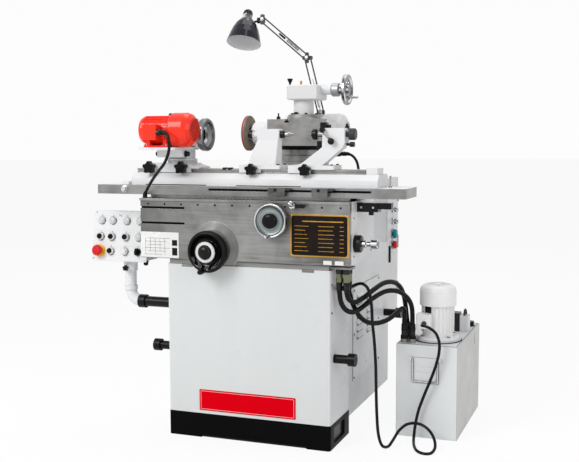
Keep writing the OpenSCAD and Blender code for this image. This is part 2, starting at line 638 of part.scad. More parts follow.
cross_seat = apron_y - 12 - gap;
module cross_handwheel() {
  color(black) {
    turned_front([cross_x, cross_seat, cross_z],
      [[0, 0], [36, 0], [36, 14], [58, 22], [64, 14], [72, 12], [cross_wheel_r, 19],
       [cross_wheel_r, 29], [72, 36], [62, 37], [50, 34], [42, 40], [0, 40]]);
    rod_y(cross_x, [cross_seat - 1, cross_seat + 28], cross_z, 12);
    turned_front([cross_x, cross_seat - 39, cross_z], [[0, 0], [26, 0], [25, 8], [20, 15], [11, 19], [0, 21]]);
    // crank handle
    turned_front([cross_x - 4, cross_seat - 34, cross_z - cross_wheel_r + 12],
      [[0, 0], [7, 0], [8, 8], [10, 30], [9, 48], [5, 54], [0, 55]]);
  }
  color("white") difference() {
    turned_front([cross_x, cross_seat - 40, cross_z], [[27, 0], [38, 0], [38, 3], [36, 5], [27, 5]]);
  }
}

dial_seat = apron_y - 12 - gap;
module dial_handwheel() {
  color(chrome) difference() {
    turned_front([dial_x, dial_seat, dial_z],
      [[0, 0], [40, 0], [42, 4], [48, 10], [54, 8], [dial_wheel_r - 3, 10], [dial_wheel_r, 15],
       [dial_wheel_r, 21], [dial_wheel_r - 4, 26], [dial_wheel_r - 10, 26], [48, 20], [30, 22], [0, 22]]);
    for (a = [60:120:300]) translate([dial_x, 0, dial_z]) rotate([0, a, 0])
      rod_y(39, [dial_seat - 30, dial_seat + 1], 0, 9);
  }
  color(black) {
    turned_front([dial_x, dial_seat - 21, dial_z], [[0, 0], [22, 0], [22, 10], [17, 16], [0, 18]]);
    rod_y(dial_x, [dial_seat - 1, dial_seat + 24], dial_z, 9);
    turned_front([dial_x - 38, dial_seat - 22, dial_z - 38],
      [[0, 0], [5, 0], [6, 6], [8, 24], [6, 36], [0, 38]]);
  }
}
module feed_knob() {
  rod_x([saddle_x1 - 10, saddle_x1 + 1], feed_y, feed_z, 10);
  color(black) turned_x([saddle_x1 + gap, feed_y, feed_z],
    [[0, 0], [31, 0], [31, 20], [28, 24], [16, 26], [0, 26]]);
  color(chrome) turned_x([saddle_x1 + 25, feed_y, feed_z],
    [[0, 0], [13, 0], [13, 14], [9, 18], [9, 30], [16, 34], [16, 56], [13, 59], [0, 60]]);
}
module reverse_lever() {
  color(black) {
    turned_front([lever_x, apron_y - 13 - gap, lever_z - 6], [[0, 0], [13, 0], [13, 14], [9, 18], [0, 18]]);
    rod_y(lever_x, [apron_y - 14, apron_y + 12], lever_z - 6, 7);
    plate_y([lever_x - 14, lever_x + 48], [apron_y - 26, apron_y - 16], [lever_z - 13, lever_z + 1], 5);
  }
  color(chrome) translate([lever_x, apron_y - 38, lever_z + 2]) sphere(r = 11);
}

// ---- tables ----

tx = -18;
table_y0 = table_y - table_d / 2;
table_y1 = table_y + table_d / 2;
slot_x = [-148, 459];
slot_z = table_z + 22;
module lower_table() color(steel) difference() {
  block([tx - table_len / 2, tx + table_len / 2], [table_y0, table_y1], [table_z, table_top], 5);
  // T slot for the dogs, along the front
  box(slot_x, [table_y0 - 1, table_y0 + 7], [slot_z - 4, slot_z + 4]);
  box([slot_x[0] + 4, slot_x[1] - 4], [table_y0 + 6, table_y0 + 13], [slot_z - 8, slot_z + 8]);
  for (x = slot_x) rod_y(x, [table_y0 - 1, table_y0 + 7], slot_z, 4);
  rod_z(0, table_y, [table_z - 1, table_top + 1], 20 + 0.05);
  // coolant trough round the swivel table
  for (s = [-1, 1]) box([tx - table_len / 2 + 20, tx + table_len / 2 - 20],
    [table_y + s * 77 - 5, table_y + s * 77 + 5], [table_top - 3, table_top + 1]);
}
dog_r = 3.6;
module table_dog(x, w) {
  color(steel) plate_y([x - w / 2, x + w / 2], [table_y0 - 20, table_y0 - gap], [slot_z - 19, slot_z + 12], 3);
  rod_y(x, [table_y0 - 1, table_y0 + 12], slot_z, dog_r);
  color(black) rod_x([x + w / 2, x + w / 2 + 20], table_y0 - 11, slot_z + 3, 7);
  color(black) rod_y(x - 4, [table_y0 - 22, table_y0 - 19], slot_z + 4, 6);
}
module table_dog_left() table_dog(121, 64);
module table_dog_right() table_dog(282, 58);

rail_y0 = table_y - rail_d / 2;
rail_y1 = table_y + rail_d / 2;
chamfer = 20;
swivel_y0 = table_y - swivel_d / 2;
swivel_y1 = table_y + swivel_d / 2;
module swivel_table() {
  color(white) difference() {
    translate([-swivel_len / 2, 0, 0]) rotate([90, 0, 90]) linear_extrude(swivel_len)
      polygon([[swivel_y0, swivel_z], [swivel_y1, swivel_z], [swivel_y1, swivel_top - 8],
               [swivel_y1 - 8, swivel_top], [swivel_y0 + chamfer, swivel_top],
               [swivel_y0, swivel_top - chamfer]]);
    rod_z(0, table_y, [swivel_z - 1, swivel_z + 20], 20);
  }
  color(steel) difference() {
    box([-swivel_len / 2 + 10, swivel_len / 2 - 52], [rail_y0, rail_y1], [swivel_top, rail_top]);
    box([-swivel_len / 2 + 9, swivel_len / 2 - 51], [rail_y0 - 1, rail_y0 + 4], [swivel_top + 4, swivel_top + 9]);
  }
  color(white) block([swivel_len / 2 - 50, swivel_len / 2 - 8], [rail_y0, rail_y1], [swivel_top, rail_top + 6], 3);
  // swivel pin
  color(steel) rod_z(0, table_y, [table_z + 3, swivel_z + 20], 20);
}

// ---- workhead ----

work_x = -300;
seat_z = rail_top + 20;
work_x0 = work_x - 88;
spindle_x1 = -216;
module workhead_base() color(white) difference() {
  union() {
    block([work_x - 112, work_x + 58], [rail_y0 - 14, rail_y1 + 12], [rail_top + gap, seat_z - gap], 6);
    translate([work_x + 56, rail_y1 + 12, rail_top + gap]) rotate([90, 0, 0])
      linear_extrude(rail_d + 26) polygon([[0, 0], [36, 0], [36, 5], [0, 17]]);
    // clamp lips in front of the rail
    block([work_x - 112, work_x + 58], [rail_y0 - 14, rail_y0 - gap], [swivel_top + 2, rail_top + 1], 2);
  }
  rod_z(work_x, centre_y, [rail_top, seat_z + 1], 18 + 0.05);
}
knob_seat = rail_y0 - 14 - 8;
module workhead_knob_left() color(black) star_knob([work_x - 102, knob_seat, rail_top + 4], 25, 7.7);
module workhead_knob_right() color(black) star_knob([work_x + 30, knob_seat, rail_top + 4], 25, 7.7);
housing_r = 52;
module workhead_body() color(white) difference() {
  union() {
    rod_z(work_x, centre_y, [seat_z, seat_z + 16], 56);
    rod_z(work_x, centre_y, [rail_top + 4, seat_z + 1], 18);
    block([work_x - 44, work_x + 40], [centre_y - 36, centre_y + 36], [seat_z + 15, centre_z - 30], 8);
    rod_x([work_x0, spindle_x1 - gap], centre_y, centre_z, housing_r);
    // shelf that carries the motor
    block([work_x - 84, work_x + 66], [motor_y - 52, centre_y + 10], [shelf_z - 10, shelf_z], 4);
    block([work_x - 60, work_x + 44], [centre_y - 92, centre_y - 30], [seat_z + 22, shelf_z - 9], 5);
  }
  rod_x([work_x0 - 1, spindle_x1 + 1], centre_y, centre_z, 32 + 0.05);
}
motor_y = centre_y - 138;
motor_z = centre_z + 17;
shelf_z = motor_z - work_motor_r - 8;
motor_x = [-392, -178];
gland_x = motor_x[0] + 96;
work_gland = [motor_y - work_motor_r - 14, motor_z - 9];
cowl_x = -262;
cowl_len = motor_x[1] - cowl_x;
module workhead_motor() color(red) difference() {
  union() {
    rod_x([motor_x[0] + 18, cowl_x + 1], motor_y, motor_z, work_motor_r - 3);
    turned_x([motor_x[0], motor_y, motor_z],
      [[0, 0], [22, 0], [26, 4], [work_motor_r - 8, 8], [work_motor_r - 3, 18], [0, 18]]);
    // cooling fins
    for (a = [20:10:340]) if (abs(a - 270) > 24) translate([0, motor_y, motor_z]) rotate([a, 0, 0])
      box([motor_x[0] + 26, cowl_x + 2], [-1.2, 1.2], [work_motor_r - 5, work_motor_r]);
    // fan cowl
    turned_x([cowl_x, motor_y, motor_z],
      [[0, 0], [work_cowl_r - 2, 0], [work_cowl_r, 4], [work_cowl_r, cowl_len - 28],
       [work_cowl_r - 6, cowl_len - 13], [work_cowl_r - 18, cowl_len - 2], [work_cowl_r - 22, cowl_len],
       [0, cowl_len]]);
    // feet
    block([motor_x[0] + 30, cowl_x - 4], [motor_y - 50, motor_y + 50], [shelf_z, shelf_z + 7], 3);
    for (x = [motor_x[0] + 40, cowl_x - 24]) box([x, x + 14], [motor_y - 44, motor_y + 44], [shelf_z + 6, motor_z - 30]);
    // terminal box and gland
    block([gland_x - 56, gland_x + 1], [motor_y - work_motor_r - 28, motor_y - 20],
          [motor_z - 36, motor_z + 20], 5);
    turned_x([gland_x, work_gland[0], work_gland[1]], [[0, 0], [11, 0], [11, 8], [8, 12], [0, 12]]);
  }
  // louvres in the end of the cowl
  for (i = [-4:4]) translate([0, motor_y, motor_z]) rotate([35, 0, 0])
    box([motor_x[1] - 12, motor_x[1] + 8], [i * 8 - 1.8, i * 8 + 1.8],
        [-sqrt(1500 - 60 * i * i * 0.9), sqrt(1500 - 60 * i * i * 0.9)]);
}
module workhead_spindle() color(steel) difference() {
  turned_x([work_x0 - 12, centre_y, centre_z],
    [[0, 0], [32, 0], [32, spindle_x1 - work_x0 + 12], [housing_r - 4, spindle_x1 - work_x0 + 12],
     [nose_r - 2, spindle_x1 - work_x0 + 14], [nose_r, spindle_x1 - work_x0 + 18],
     [nose_r, spindle_x1 - work_x0 + 34], [nose_r - 4, spindle_x1 - work_x0 + 38],
     [0, spindle_x1 - work_x0 + 38]]);
  // taper socket
  turned_x([spindle_x1 - 72, centre_y, centre_z], [[0, 0], [18, 0], [25, 74], [46, 88], [48, 100], [0, 100]]);
  rod_x([work_x0 - 14, spindle_x1], centre_y, centre_z, drawbar_r);
}

// ---- tailstocks ----

foot_y = [rail_y0 - 10, rail_y1 + 8];
foot_z = [rail_top + gap, rail_top + 15];
module tail_foot(x0, x1) {
  block([x0, x1], foot_y, foot_z, 4);
  block([x0, x0 + 84], [foot_y[0], rail_y0 - gap], [swivel_top + 3, rail_top + 1], 2);
}
module left_tailstock() {
  color(white) difference() {
    union() {
      tail_foot(-46, 112);
      hull() {
        block([-22, 90], [centre_y - 32, centre_y + 34], [foot_z[1] - 1, foot_z[1]], 6);
        block([12, 96], [centre_y - 20, centre_y + 20], [centre_z - 24, centre_z - 20], 6);
      }
      hull() {
        block([12, 96], [centre_y - 20, centre_y + 20], [centre_z - 24, centre_z - 20], 6);
        plate_y([12, 98], [centre_y - 20, centre_y + 20], [centre_z - 4, centre_z + 20], 6);
      }
    }
    rod_x([0, 110], centre_y, centre_z, 10);
  }
  color(steel) rod_x([-8, 100], centre_y, centre_z, 10);
  color(black) {
    turned_x([-26, centre_y, centre_z], [[0, 0], [15, 0], [17, 4], [17, 18], [0, 18]]);
    turned_x([98, centre_y, centre_z], [[0, 0], [14, 0], [14, 12], [10, 18], [0, 18]]);
  }
  color(chrome) turned_x([115, centre_y, centre_z], [[0, 0], [9, 0], [9, 12], [1, 36], [0, 36]]);
}
tail_knob_y = foot_y[0] - 8;
module left_tailstock_knob() color(black) star_knob([8, tail_knob_y, rail_top - 1], 23, 7.7);

module right_tailstock() {
  color(white) difference() {
    union() {
      tail_foot(143, 316);
      translate([0, centre_y + 22, 0]) rotate([90, 0, 0]) linear_extrude(44)
        polygon([[160, foot_z[1] - 1], [262, foot_z[1] - 1], [338, centre_z - 48], [346, centre_z - 30],
                 [346, centre_z + 16], [340, centre_z + 22], [272, centre_z + 22], [264, centre_z + 14],
                 [262, centre_z - 46], [184, foot_z[1] + 6]]);
    }
    rod_x([250, 350], centre_y, centre_z, 10 + 0.05);
  }
  color(black) {
    // clamp blocks by the sleeve
    block([252, 276], [centre_y - 16, centre_y + 16], [centre_z + 13, centre_z + 42], 4);
    block([240, 266], [centre_y - 14, centre_y + 14], [centre_z - 62, centre_z - 24], 3);
    rod_x([345, 374], centre_y, centre_z - 36, 5);
    rod_x([360, 376], centre_y, centre_z - 36, 9);
    rod_z(278, centre_y + 4, [centre_z + 21, centre_z + 34], 10);
  }
}
module right_tailstock_knob() color(black) star_knob([213, tail_knob_y, rail_top - 1], 23, 7.7);
module right_centre() {
  color(chrome) turned_x([198, centre_y, centre_z], [[0, 0], [8, 20], [8, 24], [0, 24]]);
  color(steel) rod_x([221, 348], centre_y, centre_z, 10);
  color(black) turned_x([220, centre_y, centre_z], [[0, 0], [17, 0], [20, 4], [20, 16], [16, 20], [0, 20]]);
  color([0.2, 0.2, 0.2]) turned_x([347 + 10, centre_y, centre_z],
    [[0, -10], [10, -10], [10, 0], [20, 1], [21, 4], [21, 20], [18, 24], [0, 24]]);
}
pivot = [256, centre_y - 22 - gap, centre_z + 27];
ball = [300, pivot[1] - 14, centre_z - 25];
module tailstock_lever() {
  color(black) rod_y(pivot[0] + 10, [pivot[1] - 16, pivot[1]], pivot[2] - 12, 9);
  color(chrome) hull() {
    translate([pivot[0] + 10, ball[1], pivot[2] - 12]) sphere(r = 5, $fn = 24);
    translate(ball) sphere(r = 3.5, $fn = 24);
  }
  color(black) translate(ball) sphere(r = 12);
}

// ---- wheelhead on its lift column ----

head_z = spindle_z - 50;
head_h = 104;
head_top = head_z + head_h;
skirt_z = column_top + 36;
// Room over the wheelhead for the lamp to turn under the gearbox
neck_top = head_top + 79;
gear_z = [neck_top, neck_top + 60];
arm_z = neck_top + 39;
module lift_column() {
  color(steel) turned_z([column_x, column_y, 0],
    [[0, base_h + 90], [lift_r, base_h + 90], [lift_r, head_z - 27], [column_r + 3, head_z - 27],
     [column_r + 3, skirt_z],
     [column_r + 14, skirt_z], [column_r + 14, skirt_z + 22], [column_r + 11, skirt_z + 24],
     [column_r + 11, skirt_z + 46], [column_r + 8, skirt_z + 48], [column_r + 8, skirt_z + 68],
     [column_r + 17, skirt_z + 70], [column_r + 17, head_z - gap], [0, head_z - gap]]);
  color(white) {
    rod_z(column_x, column_y, [head_z - 1, neck_top + 1], neck_r);
    plate_box(gear_x, [column_y - 62, column_y + 66], gear_z);
    difference() {
      rod_x([gear_x[1] - 1, tube_x1], column_y, arm_z, 19);
      rod_x([gear_x[1] + 10, tube_x1 + 1], column_y, arm_z, lift_pin_r + 0.05);
    }
  }
  color([0.5, 0.52, 0.55]) turned_x([tube_x1 - 1, column_y, arm_z],
    [[lift_pin_r + 0.05, -20], [lift_pin_r + 2, -20], [lift_pin_r + 2, 0], [23, 0], [27, 6], [27, 30], [22, 35],
     [lift_pin_r + 0.05, 35]]);
  color(black) turned_z([-14, column_y - 30, gear_z[1] - 1], [[0, 0], [4, 0], [4, 8], [11, 22], [11, 27], [0, 27]]);
  color([0.75, 0.35, 0.15]) rod_z(33, column_y - 30, [gear_z[1] - 1, gear_z[1] + 16], 4);
}
gear_x = [-18, 112];
tube_x1 = gear_x[1] + 43;
lift_pin_r = 8;
module plate_box(x, y, z) hull() {
  plate_y([x[0] + 4, x[1] - 4], y, [z[0] + 4, z[1] - 4], 6);
  plate_y(x, [y[0] + 4, y[1] - 4], z, 8);
}
module lift_handwheel() {
  color(chrome) difference() {
    turned_x([tube_x1 + 34 + gap, column_y, arm_z],
      [[0, 0], [20, 0], [18, 12], [30, 22], [lift_wheel_r - 12, 24], [lift_wheel_r - 8, 20],
       [lift_wheel_r - 2, 20], [lift_wheel_r, 24], [lift_wheel_r, 32], [lift_wheel_r - 4, 36],
       [lift_wheel_r - 10, 36], [lift_wheel_r - 16, 31], [20, 30], [18, 38], [0, 38]]);
    for (a = [30:60:330]) translate([0, column_y, arm_z]) rotate([a, 0, 0])
      rod_x([205, 230], 0, 35, 8);
  }
  color(steel) rod_x([gear_x[1] + 14, 191], column_y, arm_z, lift_pin_r);
  color(steel) rod_x([216, 270], column_y - 26, arm_z - 32, 4.5);
}

spindle_r = 22;
module wheelhead() {
  color(steel) difference() {
    union() {
      block([-53, 164], [front_y + 345, front_y + 432], [head_z, head_top], 3);
      turned_z([column_x, column_y, head_top - 5], [[0, 0], [68, 0], [68, 14], [62, 26], [0, 26]]);
    }
    // T slot in the top, front to back
    box([25, 33], [front_y + 344, front_y + 400], [head_top - 14, head_top + 1]);
    box([20, 38], [front_y + 344, front_y + 400], [head_top - 14, head_top - 7]);
    rod_x([-60, 120], spindle_y, spindle_z, spindle_r + 0.05);
    rod_z(column_x, column_y, [head_z - 3, head_top + 22], neck_r + 0.05);
  }
  color(white) difference() {
    union() {
      block([-44, 150], [front_y + 430, front_y + 612], [head_z, head_top - 3], 10);
      block([-84, 140], [shelf_y, front_y + 768], [head_z - 43, head_z - 27], 6);
      block([-66, 134], [front_y + 600, front_y + 616], [head_z, head_z + 60], 5);
      for (x = [-66, 116]) translate([x, 0, 0]) rotate([90, 0, 90]) linear_extrude(18)
        polygon([[front_y + 604, head_z], [front_y + 612, head_z - 33], [shelf_y, head_z - 43],
                 [shelf_y + 1, head_z - 27], [front_y + 622, head_z + 1], [front_y + 616, head_z + 27],
                 [front_y + 604, head_z + 27]]);
      box([56, 100], [front_y + 600, lamp[1] + 19], [head_top - 4, head_top]);
      // quill of the grinding spindle
      turned_x([-130, spindle_y, spindle_z], [[0, 0], [34, 0], [44, 8], [44, 78], [0, 78]]);
      // seat of the lamp
      turned_z([lamp[0], lamp[1], head_top - 1],
        [[0, 0], [19, 0], [18, 7], [14, 12], [8, 14], [0, 14]]);
      plate_y([lamp[0] - 8, lamp[0] + 8], [lamp[1] - 7, lamp[1] + arm_face - gap], [head_top + 12, lamp[2] + 10], 5);
    }
    rod_x([-140, -40], spindle_y, spindle_z, spindle_r + 0.05);
    rod_z(column_x, column_y, [head_z - 3, head_top + 1], neck_r + 0.05);
    rod_y(lamp[0], [lamp[1] - 8, lamp[1] + 2], lamp[2], pin_r + 0.05);
  }
  // gland of the motor cable
  color(black) turned_x([head_gland_x, head_gland[0], head_gland[1]], [[0, 0], [11, 0], [11, 30], [8, 36], [8, 44], [0, 44]]);
  color(black) {
    turned_z([-23, front_y + 392, head_top], [[0, 0], [8, 0], [8, 9], [3, 12], [3, 24], [0, 24]]);
    rod_z(18, front_y + 480, [head_top + 20, head_top + 30], 8);
  }
}
module grinding_spindle() color(chrome) {
  rod_x([-128, 118], spindle_y, spindle_z, spindle_r);
  turned_x([-168, spindle_y, spindle_z],
    [[0, 0], [9, 0], [9, 8], [12, 8], [12, 40], [22, 40], [22, 41], [0, 41]]);
}
wheel_x = [-152 - wheel_t / 2, -152 + wheel_t / 2];
module grinding_wheel() {
  color([0.45, 0.38, 0.34]) difference() {
    turned_x([wheel_x[0], spindle_y, spindle_z],
      [[0, 0], [wheel_r - 1.5, 0], [wheel_r, 1.5], [wheel_r, wheel_t - 1.5], [wheel_r - 1.5, wheel_t], [0, wheel_t]]);
    rod_x([wheel_x[0] - 1, wheel_x[1] + 1], spindle_y, spindle_z, 12);
  }
  color(black) for (x = [wheel_x[0] - 6, wheel_x[1]]) difference() {
    rod_x([x, x + 6], spindle_y, spindle_z, 24);
    rod_x([x - 1, x + 7], spindle_y, spindle_z, 12);
  }
}
hm_x = [-96, 168];
hm_y = front_y + 698;
hm_z = head_z + 54;
module head_motor() color(white) difference() {
  union() {
    rod_x([hm_x[0], hm_x[1] - 90], hm_y, hm_z, head_motor_r - 4);
    for (a = [0:12:348]) if (a < 240 || a > 300) translate([0, hm_y, hm_z]) rotate([a - 90, 0, 0])
      box([hm_x[0] + 10, hm_x[1] - 96], [-1.4, 1.4], [head_motor_r - 6, head_motor_r]);
    turned_x([hm_x[1] - 92, hm_y, hm_z],
      [[0, 0], [head_motor_r - 1, 0], [head_motor_r, 3], [head_motor_r, 62], [head_motor_r - 8, 80],
       [head_motor_r - 24, 90], [head_motor_r - 30, 92], [0, 92]]);
    for (x = [hm_x[0] + 14, 44]) box([x, x + 26], [hm_y - 56, hm_y + 56], [head_z - 27, hm_z - 40]);
    block([hm_x[0] + 20, hm_x[0] + 84], [hm_y + head_motor_r - 14, hm_y + head_motor_r + 26], [hm_z - 30, hm_z + 30], 5);
  }
  for (a = [0:30:330]) translate([0, hm_y, hm_z]) rotate([a, 0, 0])
    translate([hm_x[1] - 8, 0, 0]) rotate([0, 90, 0]) linear_extrude(20)
      polygon([[14, -2], [42, -8], [42, 8], [14, 2]]);
}

// ---- work lamp ----

lamp = [78, front_y + 612, head_top + 32];
head_gland_x = 132;
head_gland = [front_y + 616, head_z - 35];
shelf_y = front_y + 640;
// The two layers of the arms meet at this distance from the plane of the lamp
arm_face = 1;
pin_r = 3.5;
arm_t = 6;
low_lean = 14.5;
up_rise = 39.9;
elbow = lamp + arm_low * [-sin(low_lean), 0, cos(low_lean)];
wrist = elbow + arm_up * [-cos(up_rise), 0, sin(up_rise)];
rod_r = 3;
arm_gap = 13;
// Round bar between two points
module strut(a, b, r) {
  v = b - a;
  translate(a) rotate([0, acos(v[2] / norm(v)), atan2(v[1], v[0])]) cylinder(h = norm(v), r = r, $fn = 16);
}
// Flat link plate in the near or the far layer, with the pin or the hole of its joint
module link(at, w, h, near) {
  y = lamp[1] + arm_face - (near ? gap : 0);
  plate_y([at[0] - w / 2, at[0] + w / 2], near ? [y - arm_t, y] : [y, y + arm_t], [at[2] - h / 2, at[2] + h / 2], 5);
}
module lamp_arm_lower() color(black) {
  link(lamp, 34, 18, false);
  rod_y(lamp[0], [lamp[1] - 9, lamp[1] + 2], lamp[2], pin_r);
  for (s = [-1, 1]) strut(lamp + [s * arm_gap, 4, 0], elbow + [s * arm_gap, 4, 0], rod_r);
  link(elbow, 44, 16, false);
  rod_y(elbow[0], [lamp[1] - 9, lamp[1] + 2], elbow[2], pin_r);
}
module lamp_arm_upper() color(black) difference() {
  union() {
    link(elbow, 16, 44, true);
    for (s = [-1, 1]) strut(elbow + [0, -4, s * arm_gap], wrist + [0, -4, s * arm_gap], rod_r);
    link(wrist, 18, 42, true);
  }
  for (p = [elbow, wrist]) rod_y(p[0], [lamp[1] - 9, lamp[1] + 2], p[2], pin_r + 0.05);
}
shade_tilt = 21;
shade_at = wrist + [-66, -11, 2];
module lamp_shade() {
  translate(shade_at) rotate([-shade_tilt, 0, 0]) {
    color([0.05, 0.05, 0.09]) rotate_extrude() polygon([
      [21, 0], [30, -6], [44, -24], [55, -48], [64, -76], [shade_r, -108],
      [shade_r - shade_wall, -108], [64 - shade_wall, -76], [55 - shade_wall, -48],
      [44 - shade_wall, -24], [30 - shade_wall, -8], [0, -6], [0, 0]]);
    color(white) translate([0, 0, -1]) cylinder(h = 20, r = 20);
    color(black) rotate_extrude() polygon([[0, 18], [20, 18], [21, 24], [18, 36], [10, 43], [0, 45]]);
    color("white") translate([0, 0, -50]) sphere(r = 22);
    color("white") translate([0, 0, -32]) cylinder(h = 28, r = 11);
  }
  color(black) {
    link(wrist + [-9, 0, -3], 36, 24, false);
    rod_y(wrist[0], [lamp[1] - 9, lamp[1] + 2], wrist[2], pin_r);
    strut(wrist + [-20, 4, -4], shade_at + [26, 6, -12], 4.5);
  }
}

bed();
side_panel();
lifting_bars();
column();
cabinet();
cabinet_door();
cabinet_start_button();
cabinet_stop_button();
pendant_arm();
pendant_clamp();
pendant_box();
pendant_button_1();
pendant_button_2();
pendant_button_3();
pendant_button_4();
pendant_button_5();
pendant_estop();
pendant_selector();
hose_manifold();
tank();
tank_handle();
pump_motor();
pump_fan_cowl();
valve_block();
hose_a();
hose_b();
hose_c();
pump_cable();
saddle();
cross_handwheel();
dial_handwheel();
feed_knob();
reverse_lever();
lower_table();
table_dog_left();
table_dog_right();
swivel_table();
workhead_base();
workhead_knob_left();
workhead_knob_right();
workhead_body();
workhead_motor();
workhead_spindle();
workhead_cable();
left_tailstock();
left_tailstock_knob();
right_tailstock();
right_tailstock_knob();
right_centre();
tailstock_lever();
lift_column();
lift_handwheel();
wheelhead();
grinding_spindle();
grinding_wheel();
head_motor();
head_cable();
lamp_arm_lower();
lamp_arm_upper();
lamp_shade();
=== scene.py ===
import math

import bmesh
import bpy
from mathutils import Matrix, Vector


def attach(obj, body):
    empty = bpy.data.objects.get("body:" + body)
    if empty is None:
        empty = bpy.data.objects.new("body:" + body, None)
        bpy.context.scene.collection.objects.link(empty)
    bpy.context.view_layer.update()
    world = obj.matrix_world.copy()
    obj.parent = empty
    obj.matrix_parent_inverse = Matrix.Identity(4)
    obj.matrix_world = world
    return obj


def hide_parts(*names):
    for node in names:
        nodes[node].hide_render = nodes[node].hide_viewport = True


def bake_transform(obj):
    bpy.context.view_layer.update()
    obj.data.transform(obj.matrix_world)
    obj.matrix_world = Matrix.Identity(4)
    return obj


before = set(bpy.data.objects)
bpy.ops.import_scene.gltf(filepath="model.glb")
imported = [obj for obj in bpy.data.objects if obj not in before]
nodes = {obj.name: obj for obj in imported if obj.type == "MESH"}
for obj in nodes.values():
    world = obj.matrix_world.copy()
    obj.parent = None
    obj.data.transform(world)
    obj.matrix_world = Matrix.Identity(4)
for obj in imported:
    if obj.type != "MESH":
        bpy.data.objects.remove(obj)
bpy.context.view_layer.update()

# ---- shader nodes ----


def plug(tree, value, socket):
    """Links a socket, or sets a constant."""
    if isinstance(value, bpy.types.NodeSocket):
        tree.links.new(value, socket)
    elif isinstance(value, (tuple, list)) and len(value) == 3 and socket.type == "RGBA":
        socket.default_value = (*value, 1)
    else:
        socket.default_value = value


def node(tree, kind, inputs, **values):
    """Adds a node and fills the sockets that inputs names."""
    made = tree.nodes.new("ShaderNode" + kind)
    for key, value in values.items():
        setattr(made, key, value)
    for key, value in inputs.items():
        plug(tree, value, made.inputs[key])
    return made


def math_node(tree, operation, a, b=0.0):
    return node(tree, "Math", {0: a, 1: b}, operation=operation).outputs[0]


def plus(tree, a, b):
    return math_node(tree, "ADD", a, b)


def times(tree, a, b):
    return math_node(tree, "MULTIPLY", a, b)


# ---- camera, stage and lights ----

FOCAL_PX = 948.0
PHOTO_W = 579
SENSOR_MM = 36.0
CAMERA_AT = (1.3275, -3.6645, 1.1123)
CAMERA_TURN = (math.radians(84.416), math.radians(0.1536), math.radians(20.332))
FLOOR_HALF = 60.0
FLOOR_SEEN = 0.89
SKY_LIGHT = 0.46
SKY_SEEN = 0.98
PURE_WHITE = (1, 1, 1)


def make_camera():
    data = bpy.data.cameras.new("camera")
    data.sensor_width = SENSOR_MM
    data.lens = FOCAL_PX * SENSOR_MM / PHOTO_W
    data.clip_end = 50
    camera = bpy.data.objects.new("camera", data)
    camera.location = CAMERA_AT
    camera.rotation_euler = CAMERA_TURN
    bpy.context.collection.objects.link(camera)
    bpy.context.scene.camera = camera


def seen_share(tree, share):
    """The share for rays from the camera, mirrors and glass, and 0 for light on the object."""
    ray = node(tree, "LightPath", {}).outputs
    total = math_node(tree, "MAXIMUM", ray["Is Camera Ray"], ray["Is Glossy Ray"])
    return times(tree, math_node(tree, "MAXIMUM", total, ray["Is Transmission Ray"]), share)


def mix_shaders(tree, fac, a, b, target):
    mix = node(tree, "MixShader", {"Fac": fac, 1: a.outputs[0], 2: b.outputs[0]})
    plug(tree, mix.outputs[0], tree.nodes[target].inputs["Surface"])


def make_floor():
    mesh = bpy.data.meshes.new("floor")
    mesh.from_pydata([(x * FLOOR_HALF, y * FLOOR_HALF, 0) for x, y in ((-1, -1), (1, -1), (1, 1), (-1, 1))], [],
        [(0, 1, 2, 3)])
    floor = bpy.data.objects.new("floor", mesh)
    bpy.context.collection.objects.link(floor)
    material = bpy.data.materials.new("floor")
    material.use_nodes = True
    mesh.materials.append(material)
    tree = material.node_tree
    shader = tree.nodes["Principled BSDF"]
    plug(tree, (0.95, 0.95, 0.95), shader.inputs["Base Color"])
    plug(tree, 0.9, shader.inputs["Roughness"])
    lit = node(tree, "Emission", {"Color": PURE_WHITE})
    mix_shaders(tree, seen_share(tree, FLOOR_SEEN), shader, lit, "Material Output")


def make_sky():
    world = bpy.data.worlds.new("world")
    bpy.context.scene.world = world
    world.use_nodes = True
    tree = world.node_tree
    lighting = tree.nodes["Background"]
    plug(tree, PURE_WHITE, lighting.inputs["Color"])
    plug(tree, SKY_LIGHT, lighting.inputs["Strength"])
    seen = node(tree, "Background", {"Color": PURE_WHITE, "Strength": SKY_SEEN})
    mix_shaders(tree, seen_share(tree, 1.0), lighting, seen, "World Output")


def make_light(name, at, target, size, power):
    data = bpy.data.lights.new(name, "AREA")
    data.size = size
    data.energy = power
    light = bpy.data.objects.new(name, data)
    light.location = at
    light.rotation_euler = (Vector(target) - Vector(at)).to_track_quat("-Z", "Y").to_euler()
    bpy.context.collection.objects.link(light)


make_camera()
make_floor()
make_sky()
make_light("key", (-1.9, -4.0, 3.6), (0.1, 0, 0.7), 2.4, 142)
make_light("fill", (3.8, -2.6, 2.4), (0.2, 0, 0.7), 2.6, 31)
make_light("top", (0.2, 0.6, 4.2), (0, 0, 0.8), 2.2, 40)
bpy.context.scene.view_settings.view_transform = "Standard"

# ---- patterns ----

EDGE_GRAIN = 60.0
BUMP_DEPTH = 0.0006
EDGE_ROUND = 0.0014


def coordinates(tree, kind="Object"):
    return node(tree, "TexCoord", {}).outputs[kind]


def split_xyz(tree, vector):
    return node(tree, "SeparateXYZ", {0: vector}).outputs


def noise(tree, scale, detail=3.0, stretch=(1, 1, 1), rough=0.55):
    where = node(tree, "Mapping", {"Vector": coordinates(tree), "Scale": stretch}).outputs["Vector"]
    return node(tree, "TexNoise", {"Scale": scale, "Detail": detail, "Roughness": rough,
        "Vector": where}).outputs["Fac"]


def between(tree, fac, low, high, from_low=0.35, from_high=0.65):
    return node(tree, "MapRange", {"From Min": from_low, "From Max": from_high, "To Min": low, "To Max": high,
        "Value": fac}).outputs["Result"]


def patches(tree, grain, low, high):
    """Where a noise lies above a level: 0 below it, 1 above it."""
    return between(tree, noise(tree, *grain), 0.0, 1.0, low, high)


